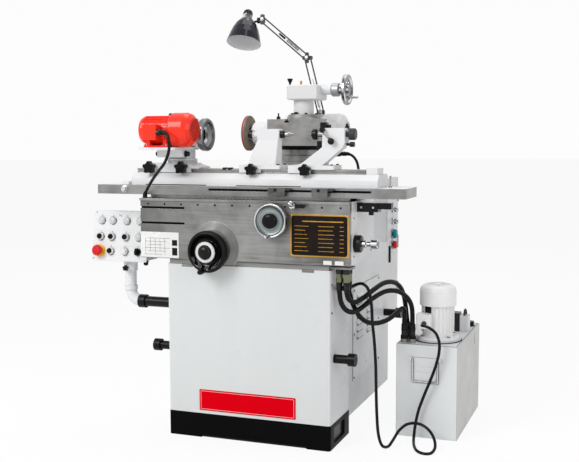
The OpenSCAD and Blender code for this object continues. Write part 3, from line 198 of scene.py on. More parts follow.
def mix_color(tree, fac, a, b):
    return node(tree, "Mix", {"Factor": fac, 6: a, 7: b}, data_type="RGBA").outputs[2]


def mix_value(tree, fac, a, b):
    return node(tree, "Mix", {"Factor": fac, 2: a, 3: b}, data_type="FLOAT").outputs[0]


def shade(color, k):
    return tuple(min(1.0, c * k) for c in color)


def lift(color, k, more):
    return tuple(c * k + more for c in color)


def edges(tree, radius):
    """Where the surface turns sharply, broken up by noise."""
    soft = node(tree, "Bevel", {"Radius": radius}, samples=4)
    true = node(tree, "NewGeometry", {})
    turned = node(tree, "VectorMath", {0: soft.outputs[0], 1: true.outputs["Normal"]}, operation="DOT_PRODUCT")
    wear_and_painted_highlight = between(tree, turned.outputs["Value"], 1.0, 0.0, 0.75, 0.995)
    return times(tree, wear_and_painted_highlight, between(tree, noise(tree, EDGE_GRAIN, 4.0), 0.15, 1.0, 0.4, 0.6))


def painted_reflection_bands(tree, low, high):
    """Painted reflection: bands of dark and light colour that follow the surface's own direction, as bright
    metal shows a room.
    """
    x, _, z = split_xyz(tree, coordinates(tree, "Normal"))
    wander = times(tree, noise(tree, 9.0, 3.0), 2.4)
    wave = plus(tree, times(tree, z, 6.5), plus(tree, times(tree, x, 4.0), wander))
    return between(tree, math_node(tree, "SINE", wave), low, high, -0.55, 0.75)


def split_axes(tree, tilt=0.0, origin=(0, 0, 0)):
    """Coordinates about an origin, in a frame turned about X by tilt."""
    shift = node(tree, "VectorMath", {0: coordinates(tree), 1: origin}, operation="SUBTRACT")
    turned = node(tree, "VectorRotate", {"Vector": shift.outputs[0], "Angle": tilt}, rotation_type="X_AXIS")
    return split_xyz(tree, turned.outputs[0])


def radius_about(tree, axes, axis, point):
    squares = []
    for k in range(3):
        if k != axis:
            d = math_node(tree, "SUBTRACT", axes[k], point[k])
            squares.append(times(tree, d, d))
    return math_node(tree, "SQRT", plus(tree, *squares))


def deferred(build):
    """Takes the values first and the node tree later."""
    return lambda *values, **named: lambda tree: build(tree, *values, **named)


# ---- finishes: each adds nodes and gives (colour, roughness, metallic, height) ----


@deferred
def enamel(tree, color, rough=0.32, dirt=0.06):
    """Gloss paint over filler: soft waves, fine orange peel, faint grey stains, thin at the edges."""
    stain = patches(tree, (4.0, 6.0, (1, 1, 0.35)), 0.45, 0.8)
    paint = mix_color(tree, stain, color, shade(color, 1 - dirt))
    speck = patches(tree, (160.0, 2.0), 0.7, 0.78)
    paint = mix_color(tree, speck, paint, shade(color, 1 - 2.2 * dirt))
    paint = mix_color(tree, edges(tree, 0.0025), paint, shade(color, 1 - 4.5 * dirt))
    gloss = between(tree, noise(tree, 9.0, 4.0), rough - 0.05, rough + 0.1)
    peel, waves = noise(tree, 420.0, 2.0), noise(tree, 26.0, 2.0)
    return paint, gloss, 0.0, plus(tree, times(tree, peel, 0.25), times(tree, waves, 0.5))


@deferred
def ground_steel(tree, color=(0.34, 0.34, 0.33), along=(1, 1, 1), rough=0.34, stains=0.35, metal=0.9,
        rubbing_and_painted_light=None):
    """Ground steel: fine lines along one axis, clouds, oil stains, bright edges.

    The last value, if given, is (centre, reach) of a painted highlight round a line along Y, and (far, fade) of
    painted shade that darkens the low-X end.
    """
    lines = noise(tree, 1.0, 2.0, along)
    clouds = patches(tree, (3.2, 5.0), 0.36, 0.66)
    paint = mix_color(tree, clouds, shade(color, 0.62), shade(color, 1.45))
    paint = mix_color(tree, between(tree, lines, 0.0, 0.45), paint, shade(color, 1.5))
    blotch = patches(tree, (11.0, 7.0), 0.48, 0.72)
    paint = mix_color(tree, times(tree, blotch, stains), paint, shade(color, 0.32))
    # Painted light: a highlight round a centre, broken by the clouds, and painted shade towards the low-X end.
    if rubbing_and_painted_light:
        (centre, reach), (far, fade) = rubbing_and_painted_light
        axes = split_axes(tree)
        near = between(tree, radius_about(tree, axes, 1, centre), 1.0, 0.0, 0.04, reach)
        wear_and_painted_highlight = times(tree, near, between(tree, clouds, 0.35, 1.0, 0.0, 1.0))
        paint = mix_color(tree, wear_and_painted_highlight, paint, shade(color, 2.0))
        painted_shade = between(tree, axes[0], 0.75, 0.0, far, fade)
        paint = mix_color(tree, painted_shade, paint, shade(color, 0.5))
    paint = mix_color(tree, edges(tree, 0.0015), paint, shade(color, 1.4))
    gloss = between(tree, noise(tree, 14.0, 5.0), rough - 0.06, rough + 0.14)
    return paint, gloss, metal, times(tree, lines, 0.35)


@deferred
def plating_with_painted_reflection(tree, color=(0.62, 0.62, 0.64), rough=0.1):
    """Bright plating with finger marks, and painted reflection: dark and light mirror bands in its colour."""
    marks = noise(tree, 55.0, 5.0)
    paint = mix_color(tree, painted_reflection_bands(tree, 0.0, 1.0), shade(color, 0.16), shade(color, 1.25))
    paint = mix_color(tree, between(tree, marks, 0, 0.35), paint, shade(color, 0.7))
    return paint, between(tree, marks, rough, rough + 0.12), 1.0, times(tree, noise(tree, 300.0, 2.0), 0.1)


@deferred
def moulded(tree, color, rough=0.28):
    """Moulded plastic or black oxide: fine grain, lighter with rubbing in places and along edges."""
    rubbing_and_painted_light = patches(tree, (30.0, 5.0), 0.5, 0.8)
    paint = mix_color(tree, rubbing_and_painted_light, color, lift(color, 1.15, 0.006))
    paint = mix_color(tree, edges(tree, 0.0015), paint, lift(color, 1.1, 0.05))
    gloss = between(tree, noise(tree, 70.0, 4.0), rough - 0.06, rough + 0.12)
    return paint, gloss, 0.0, times(tree, noise(tree, 650.0, 2.0), 0.4)


@deferred
def abrasive(tree, color):
    """Bonded grit."""
    grit = noise(tree, 900.0, 3.0)
    paint = mix_color(tree, between(tree, grit, 0, 1), shade(color, 0.6), shade(color, 1.5))
    dust = patches(tree, (22.0, 4.0), 0.5, 0.75)
    paint = mix_color(tree, times(tree, dust, 0.4), paint, (0.5, 0.46, 0.42))
    return paint, 0.93, 0.0, times(tree, grit, 3.0)


# ---- zones: each masks a place in the object's own frame where another finish shows ----


def within(tree, value, low, high):
    """Masks for a value between two others; None leaves that side open."""
    ends = (("GREATER_THAN", low), ("LESS_THAN", high))
    return [math_node(tree, test, value, end) for test, end in ends if end is not None]


def all_of(tree, masks):
    result = masks[0]
    for mask in masks[1:]:
        result = times(tree, result, mask)
    return result


@deferred
def in_box(tree, x=(None, None), y=(None, None), z=(None, None)):
    masks = [within(tree, at, *span) for at, span in zip(split_axes(tree), (x, y, z))]
    return all_of(tree, sum(masks, []))


def all_zones(*zones):
    return lambda tree: all_of(tree, [zone(tree) for zone in zones])


@deferred
def round_zone(tree, axis, point, radii, low=-9.0, high=9.0):
    """Between two radii of an axis line, and between two stations along it."""
    axes = split_axes(tree)
    r = radius_about(tree, axes, axis, point)
    return all_of(tree, within(tree, r, *radii) + within(tree, axes[axis], low, high))


@deferred
def tick_zone(tree, axis, point, radii, count, share, low=-9.0, high=9.0):
    """Graduation lines round an axis."""
    axes = split_axes(tree)
    y, x = [math_node(tree, "SUBTRACT", axes[k], point[k]) for k in range(3) if k != axis]
    angle = math_node(tree, "ARCTAN2", y, x)
    step = math_node(tree, "FRACT", times(tree, angle, count / (2 * math.pi)))
    ticks = math_node(tree, "LESS_THAN", step, share)
    return all_of(tree, [ticks, round_zone(axis, point, radii, low, high)(tree)])


def make_material(name, finish, zones=(), coat=0.0, specular=0.2):
    material = bpy.data.materials.new(name)
    material.use_nodes = True
    tree = material.node_tree
    look = finish(tree)
    for zone, other in zones:
        mask = zone(tree)
        mixers = (mix_color, mix_value, mix_value, mix_value)
        look = [mix(tree, mask, a, b) for mix, a, b in zip(mixers, look, other(tree))]
    color, rough, metal, height = look
    rounded = node(tree, "Bevel", {"Radius": EDGE_ROUND}, samples=4)
    relief = node(tree, "Bump", {"Strength": 0.35, "Distance": BUMP_DEPTH, "Height": height,
        "Normal": rounded.outputs[0]})
    shader = tree.nodes["Principled BSDF"]
    for socket, value in (("Base Color", color), ("Roughness", rough), ("Metallic", metal),
            ("Coat Weight", coat), ("Specular IOR Level", specular), ("Normal", relief.outputs["Normal"])):
        plug(tree, value, shader.inputs[socket])
    return material


def dress(material, *names):
    for name in names:
        for held in nodes[name].material_slots:
            held.material = material


def paint(name, names, finish, zones=(), **values):
    """A material of its own for some CAD pieces."""
    dress(make_material(name, finish, zones, **values), *names.split())


WHITE = (0.765, 0.77, 0.78)
BLACK = (0.004, 0.004, 0.0045)
white_enamel = enamel(WHITE)
black_enamel = enamel(BLACK, 0.3, 0.0)
black_plastic = moulded(BLACK, 0.14)

paint_white = make_material("white_enamel", white_enamel, coat=0.15)
paint_black = make_material("black_enamel", black_enamel, specular=0.15)
plastic_black = make_material("black_plastic", black_plastic, specular=0.14)
bright = make_material("bright_plating", plating_with_painted_reflection())

# ---- cords ----

HOSES = ("hose_a", "hose_b", "hose_c")
HOSE_R = 0.009
CABLE_R = 0.0055
CORD_SIDES = 20
ROUTES = {
    "hose_a": [(345, -511, 608), (345, -511, 594), (345, -511, 580), (349, -508, 540), (364, -499, 510),
        (388, -484, 500), (412, -454, 514), (438, -404, 540), (468, -346, 557), (500, -300, 553),
        (527, -262, 527), (541, -236, 486), (542, -225, 420), (542, -225, 407), (542, -225, 394)],
    "hose_b": [(372, -516, 608), (372, -516, 594), (372, -516, 580), (378, -508, 550), (396, -488, 537),
        (418, -456, 549), (442, -412, 572), (466, -362, 590), (488, -314, 588), (502, -272, 568),
        (508, -232, 532), (510, -204, 484), (514, -191, 422), (514, -191, 408), (514, -191, 394)],
    "hose_c": [(372, -488, 608), (372, -488, 594), (372, -488, 580), (377, -472, 542), (386, -455, 506),
        (400, -436, 474), (420, -412, 453), (446, -386, 446), (474, -352, 452), (496, -317, 468),
        (509, -285, 482), (515, -257, 481), (514, -238, 458), (512, -229, 420), (512, -229, 407),
        (512, -229, 394)],
    "pump_cable": [(336, -440, 575), (346, -440, 575), (356, -440, 575), (384, -446, 592), (414, -455, 598),
        (437, -461, 578), (447, -460, 530), (450, -454, 460), (456, -448, 385), (463, -454, 300),
        (467, -461, 211), (471, -466, 137), (478, -470, 64), (490, -462, 20), (504, -430, 8), (512, -390, 20),
        (524, -356, 44), (546, -332, 64), (574, -322, 70), (604, -322, 66), (634, -336, 52), (658, -368, 34),
        (670, -408, 16), (664, -446, 7), (640, -458, 6), (612, -438, 6), (592, -396, 7), (578, -346, 8),
        (571, -308, 22), (572, -290, 58), (582, -287, 108), (603, -288, 169), (626, -292, 227),
        (644, -294, 278), (656, -295, 325), (659, -300, 370), (648, -306, 405), (626, -308, 424),
        (605, -304, 430), (593, -292, 429), (590, -273, 428), (590, -259, 428), (590, -245, 428)],
    "workhead_cable": [(-284, -642, 1134), (-277, -642, 1134), (-270, -642, 1134), (-256, -646, 1127),
        (-246, -650, 1108), (-244, -650, 1082), (-254, -645, 1052), (-278, -628, 1022), (-317, -602, 992),
        (-354, -578, 960), (-384, -558, 930), (-401, -545, 910), (-405, -541, 901), (-405, -541, 897),
        (-405, -541, 893)],
    "head_cable": [(176, 80, 1048), (186, 80, 1048), (196, 80, 1048), (216, 78, 1040), (234, 76, 1018),
        (242, 76, 985), (243, 78, 940), (240, 82, 880), (234, 84, 800), (228, 80, 730), (226, 76, 690),
        (226, 76, 674), (226, 76, 658)],
}


def smooth_route(route, steps):
    """Catmull-Rom points through the chosen ones, in metres."""
    p = [Vector(v) / 1000 for v in route]
    out = []
    for i in range(len(p) - 1):
        a, b, c, d = p[max(i - 1, 0)], p[i], p[i + 1], p[min(i + 2, len(p) - 1)]
        for k in range(steps):
            t = k / steps
            out.append(0.5 * (2 * b + (c - a) * t + (2 * a - 5 * b + 4 * c - d) * t * t
                + (3 * b - a - 3 * c + d) * t ** 3))
    return out + [p[-1]]


def skin(bm, rings):
    """Faces between rings of the same number of corners."""
    for a, b in zip(rings, rings[1:]):
        for k in range(len(a)):
            n = (k + 1) % len(a)
            bm.faces.new((a[k], a[n], b[n], b[k]))


def tube(bm, path, radii):
    """A closed round skin along a path."""
    rings = []
    for i, (at, radius) in enumerate(zip(path, radii)):
        along = (path[min(i + 1, len(path) - 1)] - path[max(i - 1, 0)]).normalized()
        side = along.orthogonal() if not rings else side - along * side.dot(along)
        side = side.normalized()
        up = along.cross(side)
        angles = [2 * math.pi * k / CORD_SIDES for k in range(CORD_SIDES)]
        rings.append([bm.verts.new(at + radius * (math.cos(a) * side + math.sin(a) * up)) for a in angles])
    skin(bm, rings)
    bm.faces.new(rings[0])
    bm.faces.new(rings[-1])


def new_object(bm, name, material, angle):
    """An object from a bmesh, smooth except at edges sharper than the angle."""
    bmesh.ops.recalc_face_normals(bm, faces=bm.faces)
    mesh = bpy.data.meshes.new(name)
    bm.to_mesh(mesh)
    bm.free()
    mesh.materials.append(material)
    mesh.polygons.foreach_set("use_smooth", [True] * len(mesh.polygons))
    mesh.set_sharp_from_angle(angle=math.radians(angle))
    piece = bpy.data.objects.new(name, mesh)
    bpy.context.collection.objects.link(piece)
    return piece


def distances(path):
    """How far along a path each of its points is."""
    run = [0.0]
    for a, b in zip(path, path[1:]):
        run.append(run[-1] + (b - a).length)
    return run


def make_bending_cord(name, bodies, cuts, material):
    """A cable over several joints: one stretch for each, from the last body down to the first."""
    path = smooth_route(ROUTES[name], 6)
    run = distances(path)
    at = [0] + [min(range(len(path)), key=lambda i: abs(run[i] - cut)) for cut in cuts] + [len(path) - 1]
    for k, (upper, lower) in enumerate(zip(bodies, bodies[1:])):
        part = path[at[k]:at[k + 1] + 1]
        label = f"{name}_line" + (f"_{k + 1}" if k else "")
        bm = bmesh.new()
        tube(bm, part, [CABLE_R] * len(part))
        piece = new_object(bm, label, material, 60)
        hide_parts(name)
        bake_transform(piece)


def make_cord(name, body, radius, material):
    path = smooth_route(ROUTES[name], 6)
    data = bpy.data.curves.new(name + "_line", "CURVE")
    data.dimensions = "3D"
    data.bevel_depth = radius
    data.bevel_resolution = 4
    data.use_fill_caps = True
    spline = data.splines.new("POLY")
    spline.points.add(len(path) - 1)
    for point, at in zip(spline.points, path):
        point.co = (*at, 1)
    piece = bpy.data.objects.new(name + "_line", data)
    bpy.context.collection.objects.link(piece)
    data.materials.append(material)
    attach(piece, body)
    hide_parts(name)


rubber = make_material("hose_rubber", moulded((0.004, 0.004, 0.0045), 0.26), specular=0.16)
for hose in HOSES:
    make_cord(hose, "base", HOSE_R, rubber)
make_cord("pump_cable", "base", CABLE_R, rubber)
make_bending_cord("workhead_cable", ("workhead", "workhead_slide", "swivel_table", "table", "saddle"),
    (0.078, 0.146, 0.214), rubber)
make_bending_cord("head_cable", ("wheelhead", "lift_column", "base"), (0.15,), rubber)

# ---- finishes of the CAD pieces ----

STEEL = (0.225, 0.225, 0.218)
RED = (0.97, 0.026, 0.005)
PLINTH_H = 0.092

BASE_TOP = 0.64
BED_FRONT = -0.536
BED_BACK = -0.3045
SADDLE_Z = 0.671
APRON_Y = -0.551
CROSS = (-0.13, 0, 0.706)
DIAL = (0.112, 0, 0.824)
COLUMN = (0.034, -0.006, 0)
HEAD_Z = 1.083
DOOR_X = 0.249
HEAD_TOP = 1.187
CENTRE = (0, -0.436, 1.1263)
SPINDLE = (0, -0.136, 1.133)
MOTOR = (0, -0.574, 1.1433)
SHADE_AT = (-0.2422, 0.065, 1.6089)
SHADE_TILT = math.radians(21)
PUMP, PUMP_R = (0.62, -0.137), 0.0623

# The leaning face of the pendant: its lower edge, and places across and up it
FACE_AT = Vector((-0.558, -0.481, 0.645))
FACE_TILT = math.radians(11)
COL_X = (-0.087, -0.038, 0.024, 0.08)
ROW_H = (0.153, 0.09, 0.034)


def face_zone(low, high):
    """Between two distances in front of the pendant's face."""
    return lambda tree: all_of(tree, within(tree, split_axes(tree, FACE_TILT, FACE_AT)[1], -high, -low))


cap_zone = face_zone(0.0128, 0.03)
collar_zone = face_zone(0, 0.0122)

aged_steel = ground_steel(STEEL, (30, 5, 60), 0.36, 0.55)
table_steel = ground_steel((0.25, 0.25, 0.245), (4, 600, 600), 0.3, 0.3)
red_enamel = enamel(RED, 0.26, 0.12)
chrome = plating_with_painted_reflection()
centre_steel = ground_steel((0.26, 0.26, 0.26), (20, 20, 20), 0.22, 0.2, 1.0)
white_plastic = moulded((0.74, 0.74, 0.72), 0.3)
# Near-black: printed graduations, and painted shade in slots, grooves, vents and openings.
dark = moulded((0.003, 0.003, 0.003), 0.6)

bed_paint = make_material("bed_paint", white_enamel, [
    # Painted shade: the bed's front face is a darker grey-white than the rest of the same paint.
    (in_box(y=(None, BED_FRONT + 0.0005)), enamel((0.665, 0.685, 0.685))),
    (in_box(y=(None, BED_BACK), z=(None, PLINTH_H)), black_enamel),
    # Painted shade: the bed behind the louvre openings is near-black.
    (in_box((0.2545, None), (-0.005, 0.255), (0.298, 0.48)), dark),
    (in_box((-0.259, -0.213), z=(BASE_TOP + 0.0002, 0.672)), aged_steel),
    (in_box((0.213, 0.259), y=(None, -0.09), z=(BASE_TOP + 0.0002, 0.672)), aged_steel),
    (round_zone(2, (0.226, 0.076, 0), (0, 0.0125), BASE_TOP + 0.0002), black_plastic),
])
dress(bed_paint, "bed")
paint("column_paint", "column", white_enamel, [
    (round_zone(2, COLUMN, (0, 0.0875), 0.9615), aged_steel)])
paint("pendant_paint", "pendant_box", white_enamel, [
    (all_zones(face_zone(0.0005, 0.02), in_box(z=(0.7, None))), moulded((0.58, 0.585, 0.59), 0.12))])
dress(paint_white, "side_panel", "cabinet", "workhead_base")
# Painted light: the pump motor and its fan cowl get a brighter white than the same paint elsewhere.
paint("pump_white", "pump_motor pump_fan_cowl", enamel((0.93, 0.93, 0.925)), coat=0.15)
paint("workhead_paint", "workhead_body", white_enamel, [
    (tick_zone(2, (-0.3, -0.436, 0), (0.0555, 0.057), 120, 0.25, 1.0235, 1.033), dark)])
paint("head_motor_paint", "head_motor", white_enamel, [
    # Painted shade: a near-black ring in the openings at the head motor's end.
    (round_zone(0, (0, 0.162, 1.137), (0.013, 0.036), 0.159, 0.1708), dark)])
paint("door_paint", "cabinet_door", white_enamel, [
    (in_box((DOOR_X + 0.0002, None), z=(0.53, 0.63)), black_plastic),
    (in_box((DOOR_X + 0.0002, None), z=(0.7, 0.81)), chrome),
    (round_zone(0, (0, 0.62, 0.728), (0, 0.0092), DOOR_X + 0.0215), moulded((0.03, 0.42, 0.1), 0.15)),
    (round_zone(0, (0, 0.62, 0.783), (0, 0.0092), DOOR_X + 0.0215), white_plastic),
])
paint("teal_button", "cabinet_start_button", moulded((0.0, 0.22, 0.27), 0.22))
red_plastic = moulded((0.62, 0.012, 0.02), 0.25)
paint("red_button", "cabinet_stop_button", red_plastic)
paint("stop_mushroom", "pendant_estop", red_plastic, [(collar_zone, moulded((0.85, 0.5, 0.02), 0.3))])
paint("arm_paint", "pendant_arm", white_enamel, [(in_box((-0.4941, None)), black_enamel)])
dress(plastic_black, "pendant_clamp", "pendant_selector")
paint("button_black", "pendant_button_1 pendant_button_2 pendant_button_3 pendant_button_4", white_plastic,
    [(cap_zone, black_plastic)], specular=0.12)
paint("button_white", "pendant_button_5", white_plastic)
paint("manifold", "hose_manifold", moulded((0.02, 0.02, 0.021), 0.3), [
    (in_box(z=(0.6562, None)), aged_steel),
    (in_box((0.32, None), (-0.53, -0.47), (0.6075, 0.6384)), ground_steel((0.2, 0.21, 0.13), rough=0.3)),
])
paint("tank_paint", "tank", enamel((0.745, 0.765, 0.775)), [
    # Painted shade: the tank's right side is a darker grey than its front.
    (in_box((0.7176, None)), enamel((0.6, 0.6, 0.592), dirt=0.1)),
    (in_box(z=(0.3502, None), x=(0.49, 0.557), y=(-0.25, -0.17)), aged_steel)])
paint("handle_wire", "tank_handle", plating_with_painted_reflection((0.66, 0.66, 0.66), 0.2))
paint("valve_paint", "valve_block", moulded((0.02, 0.02, 0.021), 0.3), [
    (in_box((0.6721, None), z=(None, 0.4141)), white_enamel)])
dress(paint_black, "lifting_bars")
paint("arm_steel", "lamp_arm_lower lamp_arm_upper", moulded((0.035, 0.035, 0.037), 0.3), specular=0.4)
# The saddle's steel gets a painted highlight right of the cross handwheel and painted shade towards its left
# end.
saddle_finish = ground_steel(STEEL, (5, 5, 120), 0.36, 0.5, rubbing_and_painted_light=(((-0.035, 0, 0.75), 0.17), (-0.42, -0.2)))
paint("saddle_steel", "saddle", saddle_finish, [
    (in_box(z=(SADDLE_Z + 0.2135, None)), table_steel),
    (in_box((0.3932, None), (APRON_Y + 0.016, None)), white_enamel),
    (in_box((0.3955, None), z=(0.84, None)), black_plastic),
    # Painted shade: the boss round the cross handwheel is a little darker, rougher steel, without the painted
    # highlight.
    (round_zone(1, (-0.118, 0, 0.716), (0.05, 0.1), high=APRON_Y - 0.0003),
        ground_steel(shade(STEEL, 0.95), rough=0.5)),
    # Painted shade: near-black inside the two slots in the apron.
    (in_box((-0.43, -0.236), (APRON_Y + 0.0004, APRON_Y + 0.0115), (0.7975, 0.8065)), dark),
    (in_box((-0.43, -0.236), (APRON_Y + 0.0004, APRON_Y + 0.0115), (0.8545, 0.8635)), dark)])
paint("feed_knob", "feed_knob", black_plastic, [(in_box((0.4215, None)), chrome)])
paint("reverse_lever", "reverse_lever", black_plastic, [(in_box(y=(None, -0.5772)), chrome)])
paint("table_steel", "lower_table", table_steel, [
    (in_box(z=(0.9396, None)), white_enamel),
    # Painted shade: near-black inside the T-slot along the front.
    (in_box((-0.153, 0.464), (-0.5262, -0.512), (0.9185, 0.9355)), dark)])
paint("dog_steel", "table_dog_left table_dog_right", ground_steel(shade(STEEL, 0.6), (30, 5, 60), 0.4, 0.5), [
    (in_box((0.1532, 0.18)), black_plastic), (in_box((0.3112, None)), black_plastic),
    (in_box(y=(None, -0.5467)), black_plastic)])
paint("swivel_paint", "swivel_table", white_enamel, [
    (in_box((-0.4705, 0.4285), z=(0.98535, None)), ground_steel((0.27, 0.27, 0.26), (4, 500, 500), 0.28, 0.4)),
    # Painted shade: near-black lines for the grooves low on the front.
    (in_box((-0.42, -0.17), (None, -0.5), (0.9403, 0.9432)), dark),
    (in_box((-0.05, 0.2), (None, -0.5), (0.9403, 0.9432)), dark),
    (in_box(z=(None, 0.9402)), aged_steel)])
dress(plastic_black, "workhead_knob_left", "workhead_knob_right", "left_tailstock_knob", "right_tailstock_knob")
paint("motor_red", "workhead_motor", red_enamel, [
    (round_zone(0, (0, -0.642, 1.1343), (0, 0.0115), -0.2955, -0.2835), black_plastic),
    # Painted shade: near-black in the vents at the end of the fan cowl.
    (round_zone(0, MOTOR, (0, 0.043), -0.1912, -0.179), dark)], coat=0.45, specular=0.15)
paint("spindle_nose", "workhead_spindle", ground_steel((0.27, 0.27, 0.28), (12, 400, 400), 0.26, 0.3, 1.0), [
    (round_zone(0, CENTRE, (0, 0.0335)), plating_with_painted_reflection((0.5, 0.5, 0.51), 0.16))])
paint("left_tailstock", "left_tailstock", white_enamel, [
    (round_zone(0, CENTRE, (0, 0.0178), high=-0.0082), black_plastic),
    (round_zone(0, CENTRE, (0, 0.0145), 0.0982), black_plastic),
    (round_zone(0, CENTRE, (0, 0.0145), 0.1161), centre_steel)])
paint("right_tailstock", "right_tailstock", white_enamel, [
    (in_box(z=(1.1486, None)), black_plastic),
    (in_box((0.2395, 0.2612), (-0.4502, -0.4218), (1.0641, 1.1025)), black_plastic),
    (in_box((0.3465, None), z=(None, 1.1)), black_plastic),
    (round_zone(0, CENTRE, (0, 0.0102)), aged_steel)])
paint("right_centre", "right_centre", aged_steel, [
    (in_box((None, 0.2202)), centre_steel),
    (in_box((0.2202, 0.2405)), black_plastic),
    (in_box((0.3466, None)), moulded((0.035, 0.035, 0.036), 0.35))])
paint("clamp_lever", "tailstock_lever", black_plastic, [
    (in_box((0.2752, 0.292), z=(1.108, 1.136)), chrome)])
paint("lift_paint", "lift_column", white_enamel, [
    (in_box(z=(None, HEAD_Z - 0.0002)), aged_steel),
    # Painted shade: a near-black band on the column just under the wheelhead.
    (in_box(z=(HEAD_Z - 0.016, HEAD_Z - 0.0002)), dark),
    (in_box((0.1545, None)), ground_steel((0.42, 0.44, 0.46), (8, 8, 8), 0.3, 0.2)),
    (round_zone(2, (-0.014, -0.036, 0), (0, 0.0115), 1.3262), black_plastic),
    (round_zone(2, (0.033, -0.036, 0), (0, 0.0045), 1.3262), plating_with_painted_reflection((0.72, 0.28, 0.1), 0.25)),
])
paint("lift_wheel", "lift_handwheel", chrome, [
    (round_zone(0, (0, -0.032, 1.273), (0, 0.005), 0.2262), ground_steel((0.3, 0.3, 0.3), rough=0.25))])
paint("wheelhead_paint", "wheelhead", white_enamel, [
    (in_box((-0.0532, None), (None, -0.1042), (HEAD_Z - 0.001, None)), aged_steel),
    (round_zone(2, COLUMN, (0, 0.0682), HEAD_TOP - 0.0028), aged_steel),
    (round_zone(0, (0, 0.08, 1.048), (0, 0.0115), 0.1402), black_plastic),
    (round_zone(2, (-0.023, -0.144, 0), (0, 0.0085), HEAD_TOP + 0.0002), black_plastic),
    (round_zone(2, (0.018, -0.056, 0), (0, 0.0085), HEAD_TOP + 0.0212), black_plastic),
])
paint("wheel_spindle", "grinding_spindle", chrome)
paint("wheel_grit", "grinding_wheel", abrasive((0.23, 0.19, 0.15)), [
    (round_zone(0, SPINDLE, (0.0655, 0.08), high=-0.1525), moulded((0.42, 0.02, 0.015), 0.6)),
    (in_box((None, -0.1586)), black_plastic), (in_box((-0.1454, None)), black_plastic)])


def shade_axes(tree):
    """The shade's own axes, and the radius about its middle line."""
    axes = split_axes(tree, SHADE_TILT, SHADE_AT)
    return axes, radius_about(tree, axes, 2, (0, 0, 0))


@deferred
def shade_zone(tree, radii, low, high):
    axes, r = shade_axes(tree)
    return all_of(tree, within(tree, r, *radii) + within(tree, axes[2], low, high))


# Mid-wall lines of the shade: distance below the neck, radius there, growth per metre
SHADE_WALL = [(-0.008, 0.029, 0.875), (-0.024, 0.043, 0.458), (-0.048, 0.054, 0.321), (-0.076, 0.063, 0.25)]


def inside_shade(tree):
    axes, r = shade_axes(tree)
    masks = [math_node(tree, "LESS_THAN", axes[2], -0.0068)]
    for at, wall_r, growth in SHADE_WALL:
        down = math_node(tree, "SUBTRACT", at, axes[2])
        wall = plus(tree, times(tree, down, growth), wall_r)
        masks.append(math_node(tree, "LESS_THAN", r, wall))
    return all_of(tree, masks)


paint("shade_enamel", "lamp_shade", moulded((0.003, 0.003, 0.011), 0.1), [
    (inside_shade, white_enamel),
    (shade_zone((0, 0.0225), -0.0725, -0.0068), white_plastic),
    (shade_zone((0, 0.0208), 0.0004, 0.0183), chrome),
    (shade_zone((0, 0.0215), 0.0183, 0.06), black_plastic),
], coat=0.25, specular=0.15)


# ---- small parts in mesh code ----


def new_piece(bm, name, body, material, slot, bevel=0.0):
    bmesh.ops.remove_doubles(bm, verts=bm.verts, dist=1e-6)
    piece = new_object(bm, name, material, 35)
    if bevel:
        soft = piece.modifiers.new("bevel", "BEVEL")
        soft.width = bevel
        soft.segments = 2
        soft.limit_method = "ANGLE"
    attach(piece, body)
    return piece


def turn(bm, at, axis, profile, sides=32):
    """Revolves (radius, distance) steps about an axis; a third value makes that step a polygon."""
    axis = Vector(axis).normalized()
    side = axis.orthogonal().normalized()
    up = axis.cross(side)
    rings = []
    for r, d, *corners in profile:
        centre = Vector(at) + axis * d
        ring = []
        for k in range(sides if r else 1):
            a = 2 * math.pi * k / sides
            length = r
            if corners:
                part = 2 * math.pi / corners[0]
                length = r * math.cos(part / 2) / math.cos(a % part - part / 2)
            ring.append(bm.verts.new(centre + length * (math.cos(a) * side + math.sin(a) * up)))
        rings.append(ring)
    for a, b in zip(rings, rings[1:]):
        if len(a) == len(b):
            skin(bm, (a, b))
            continue
        for k in range(sides):
            n = (k + 1) % sides
            bm.faces.new((a[0], b[k], b[n]) if len(a) == 1 else (a[k], a[n], b[0]))


def mm(*steps):
    return [(r / 1000, d / 1000, *corners) for r, d, *corners in steps]


def slab(bm, outline, axis, low, high):
    """Extrudes a flat outline; its two numbers run along the other two axes."""
    ends = [[bm.verts.new((*at[:axis], level, *at[axis:])) for at in outline] for level in (low, high)]
    bm.faces.new(ends[0])
    bm.faces.new(reversed(ends[1]))
    skin(bm, ends)


def round_rect(u, v, r, steps=5):
    points = []
    for cu, cv, start in ((u[1] - r, v[1] - r, 0), (u[0] + r, v[1] - r, 90), (u[0] + r, v[0] + r, 180),
            (u[1] - r, v[0] + r, 270)):
        for k in range(steps + 1):
            a = math.radians(start + 90 * k / steps)
            points.append((cu + r * math.cos(a), cv + r * math.sin(a)))
    return points


def circle(x, y, r, degrees, *z):
    return [(x + r * math.cos(a), y + r * math.sin(a), *z) for a in map(math.radians, degrees)]


def bar(bm, x, y, z):
    slab(bm, [(x[0], y[0]), (x[1], y[0]), (x[1], y[1]), (x[0], y[1])], 2, z[0], z[1])


def cap_screw(bm, at, axis, r, h):
    turn(bm, at, axis, [(0, 0), (r, 0), (r, 0.85 * h), (0.86 * r, h), (0.6 * r, h, 6), (0.6 * r, 0.45 * h, 6),
        (0, 0.45 * h)], 24)


def hex_bolt(bm, at, axis, r, h):
    turn(bm, at, axis, [(0, 0), (1.25 * r, 0), (1.25 * r, 0.2 * h), (r, 0.2 * h, 6), (r, 0.9 * h, 6),
        (0.8 * r, h), (0, h)], 24)


def make_piece(name, body, material, slot, *shapes, bevel=0.0, move=None):
    """One piece from several shapes, each a function and its values."""
    bm = bmesh.new()
    for build, *values in shapes:
        build(bm, *values)
    if move:
        bm.transform(move)
    return new_piece(bm, name, body, material, slot, bevel)


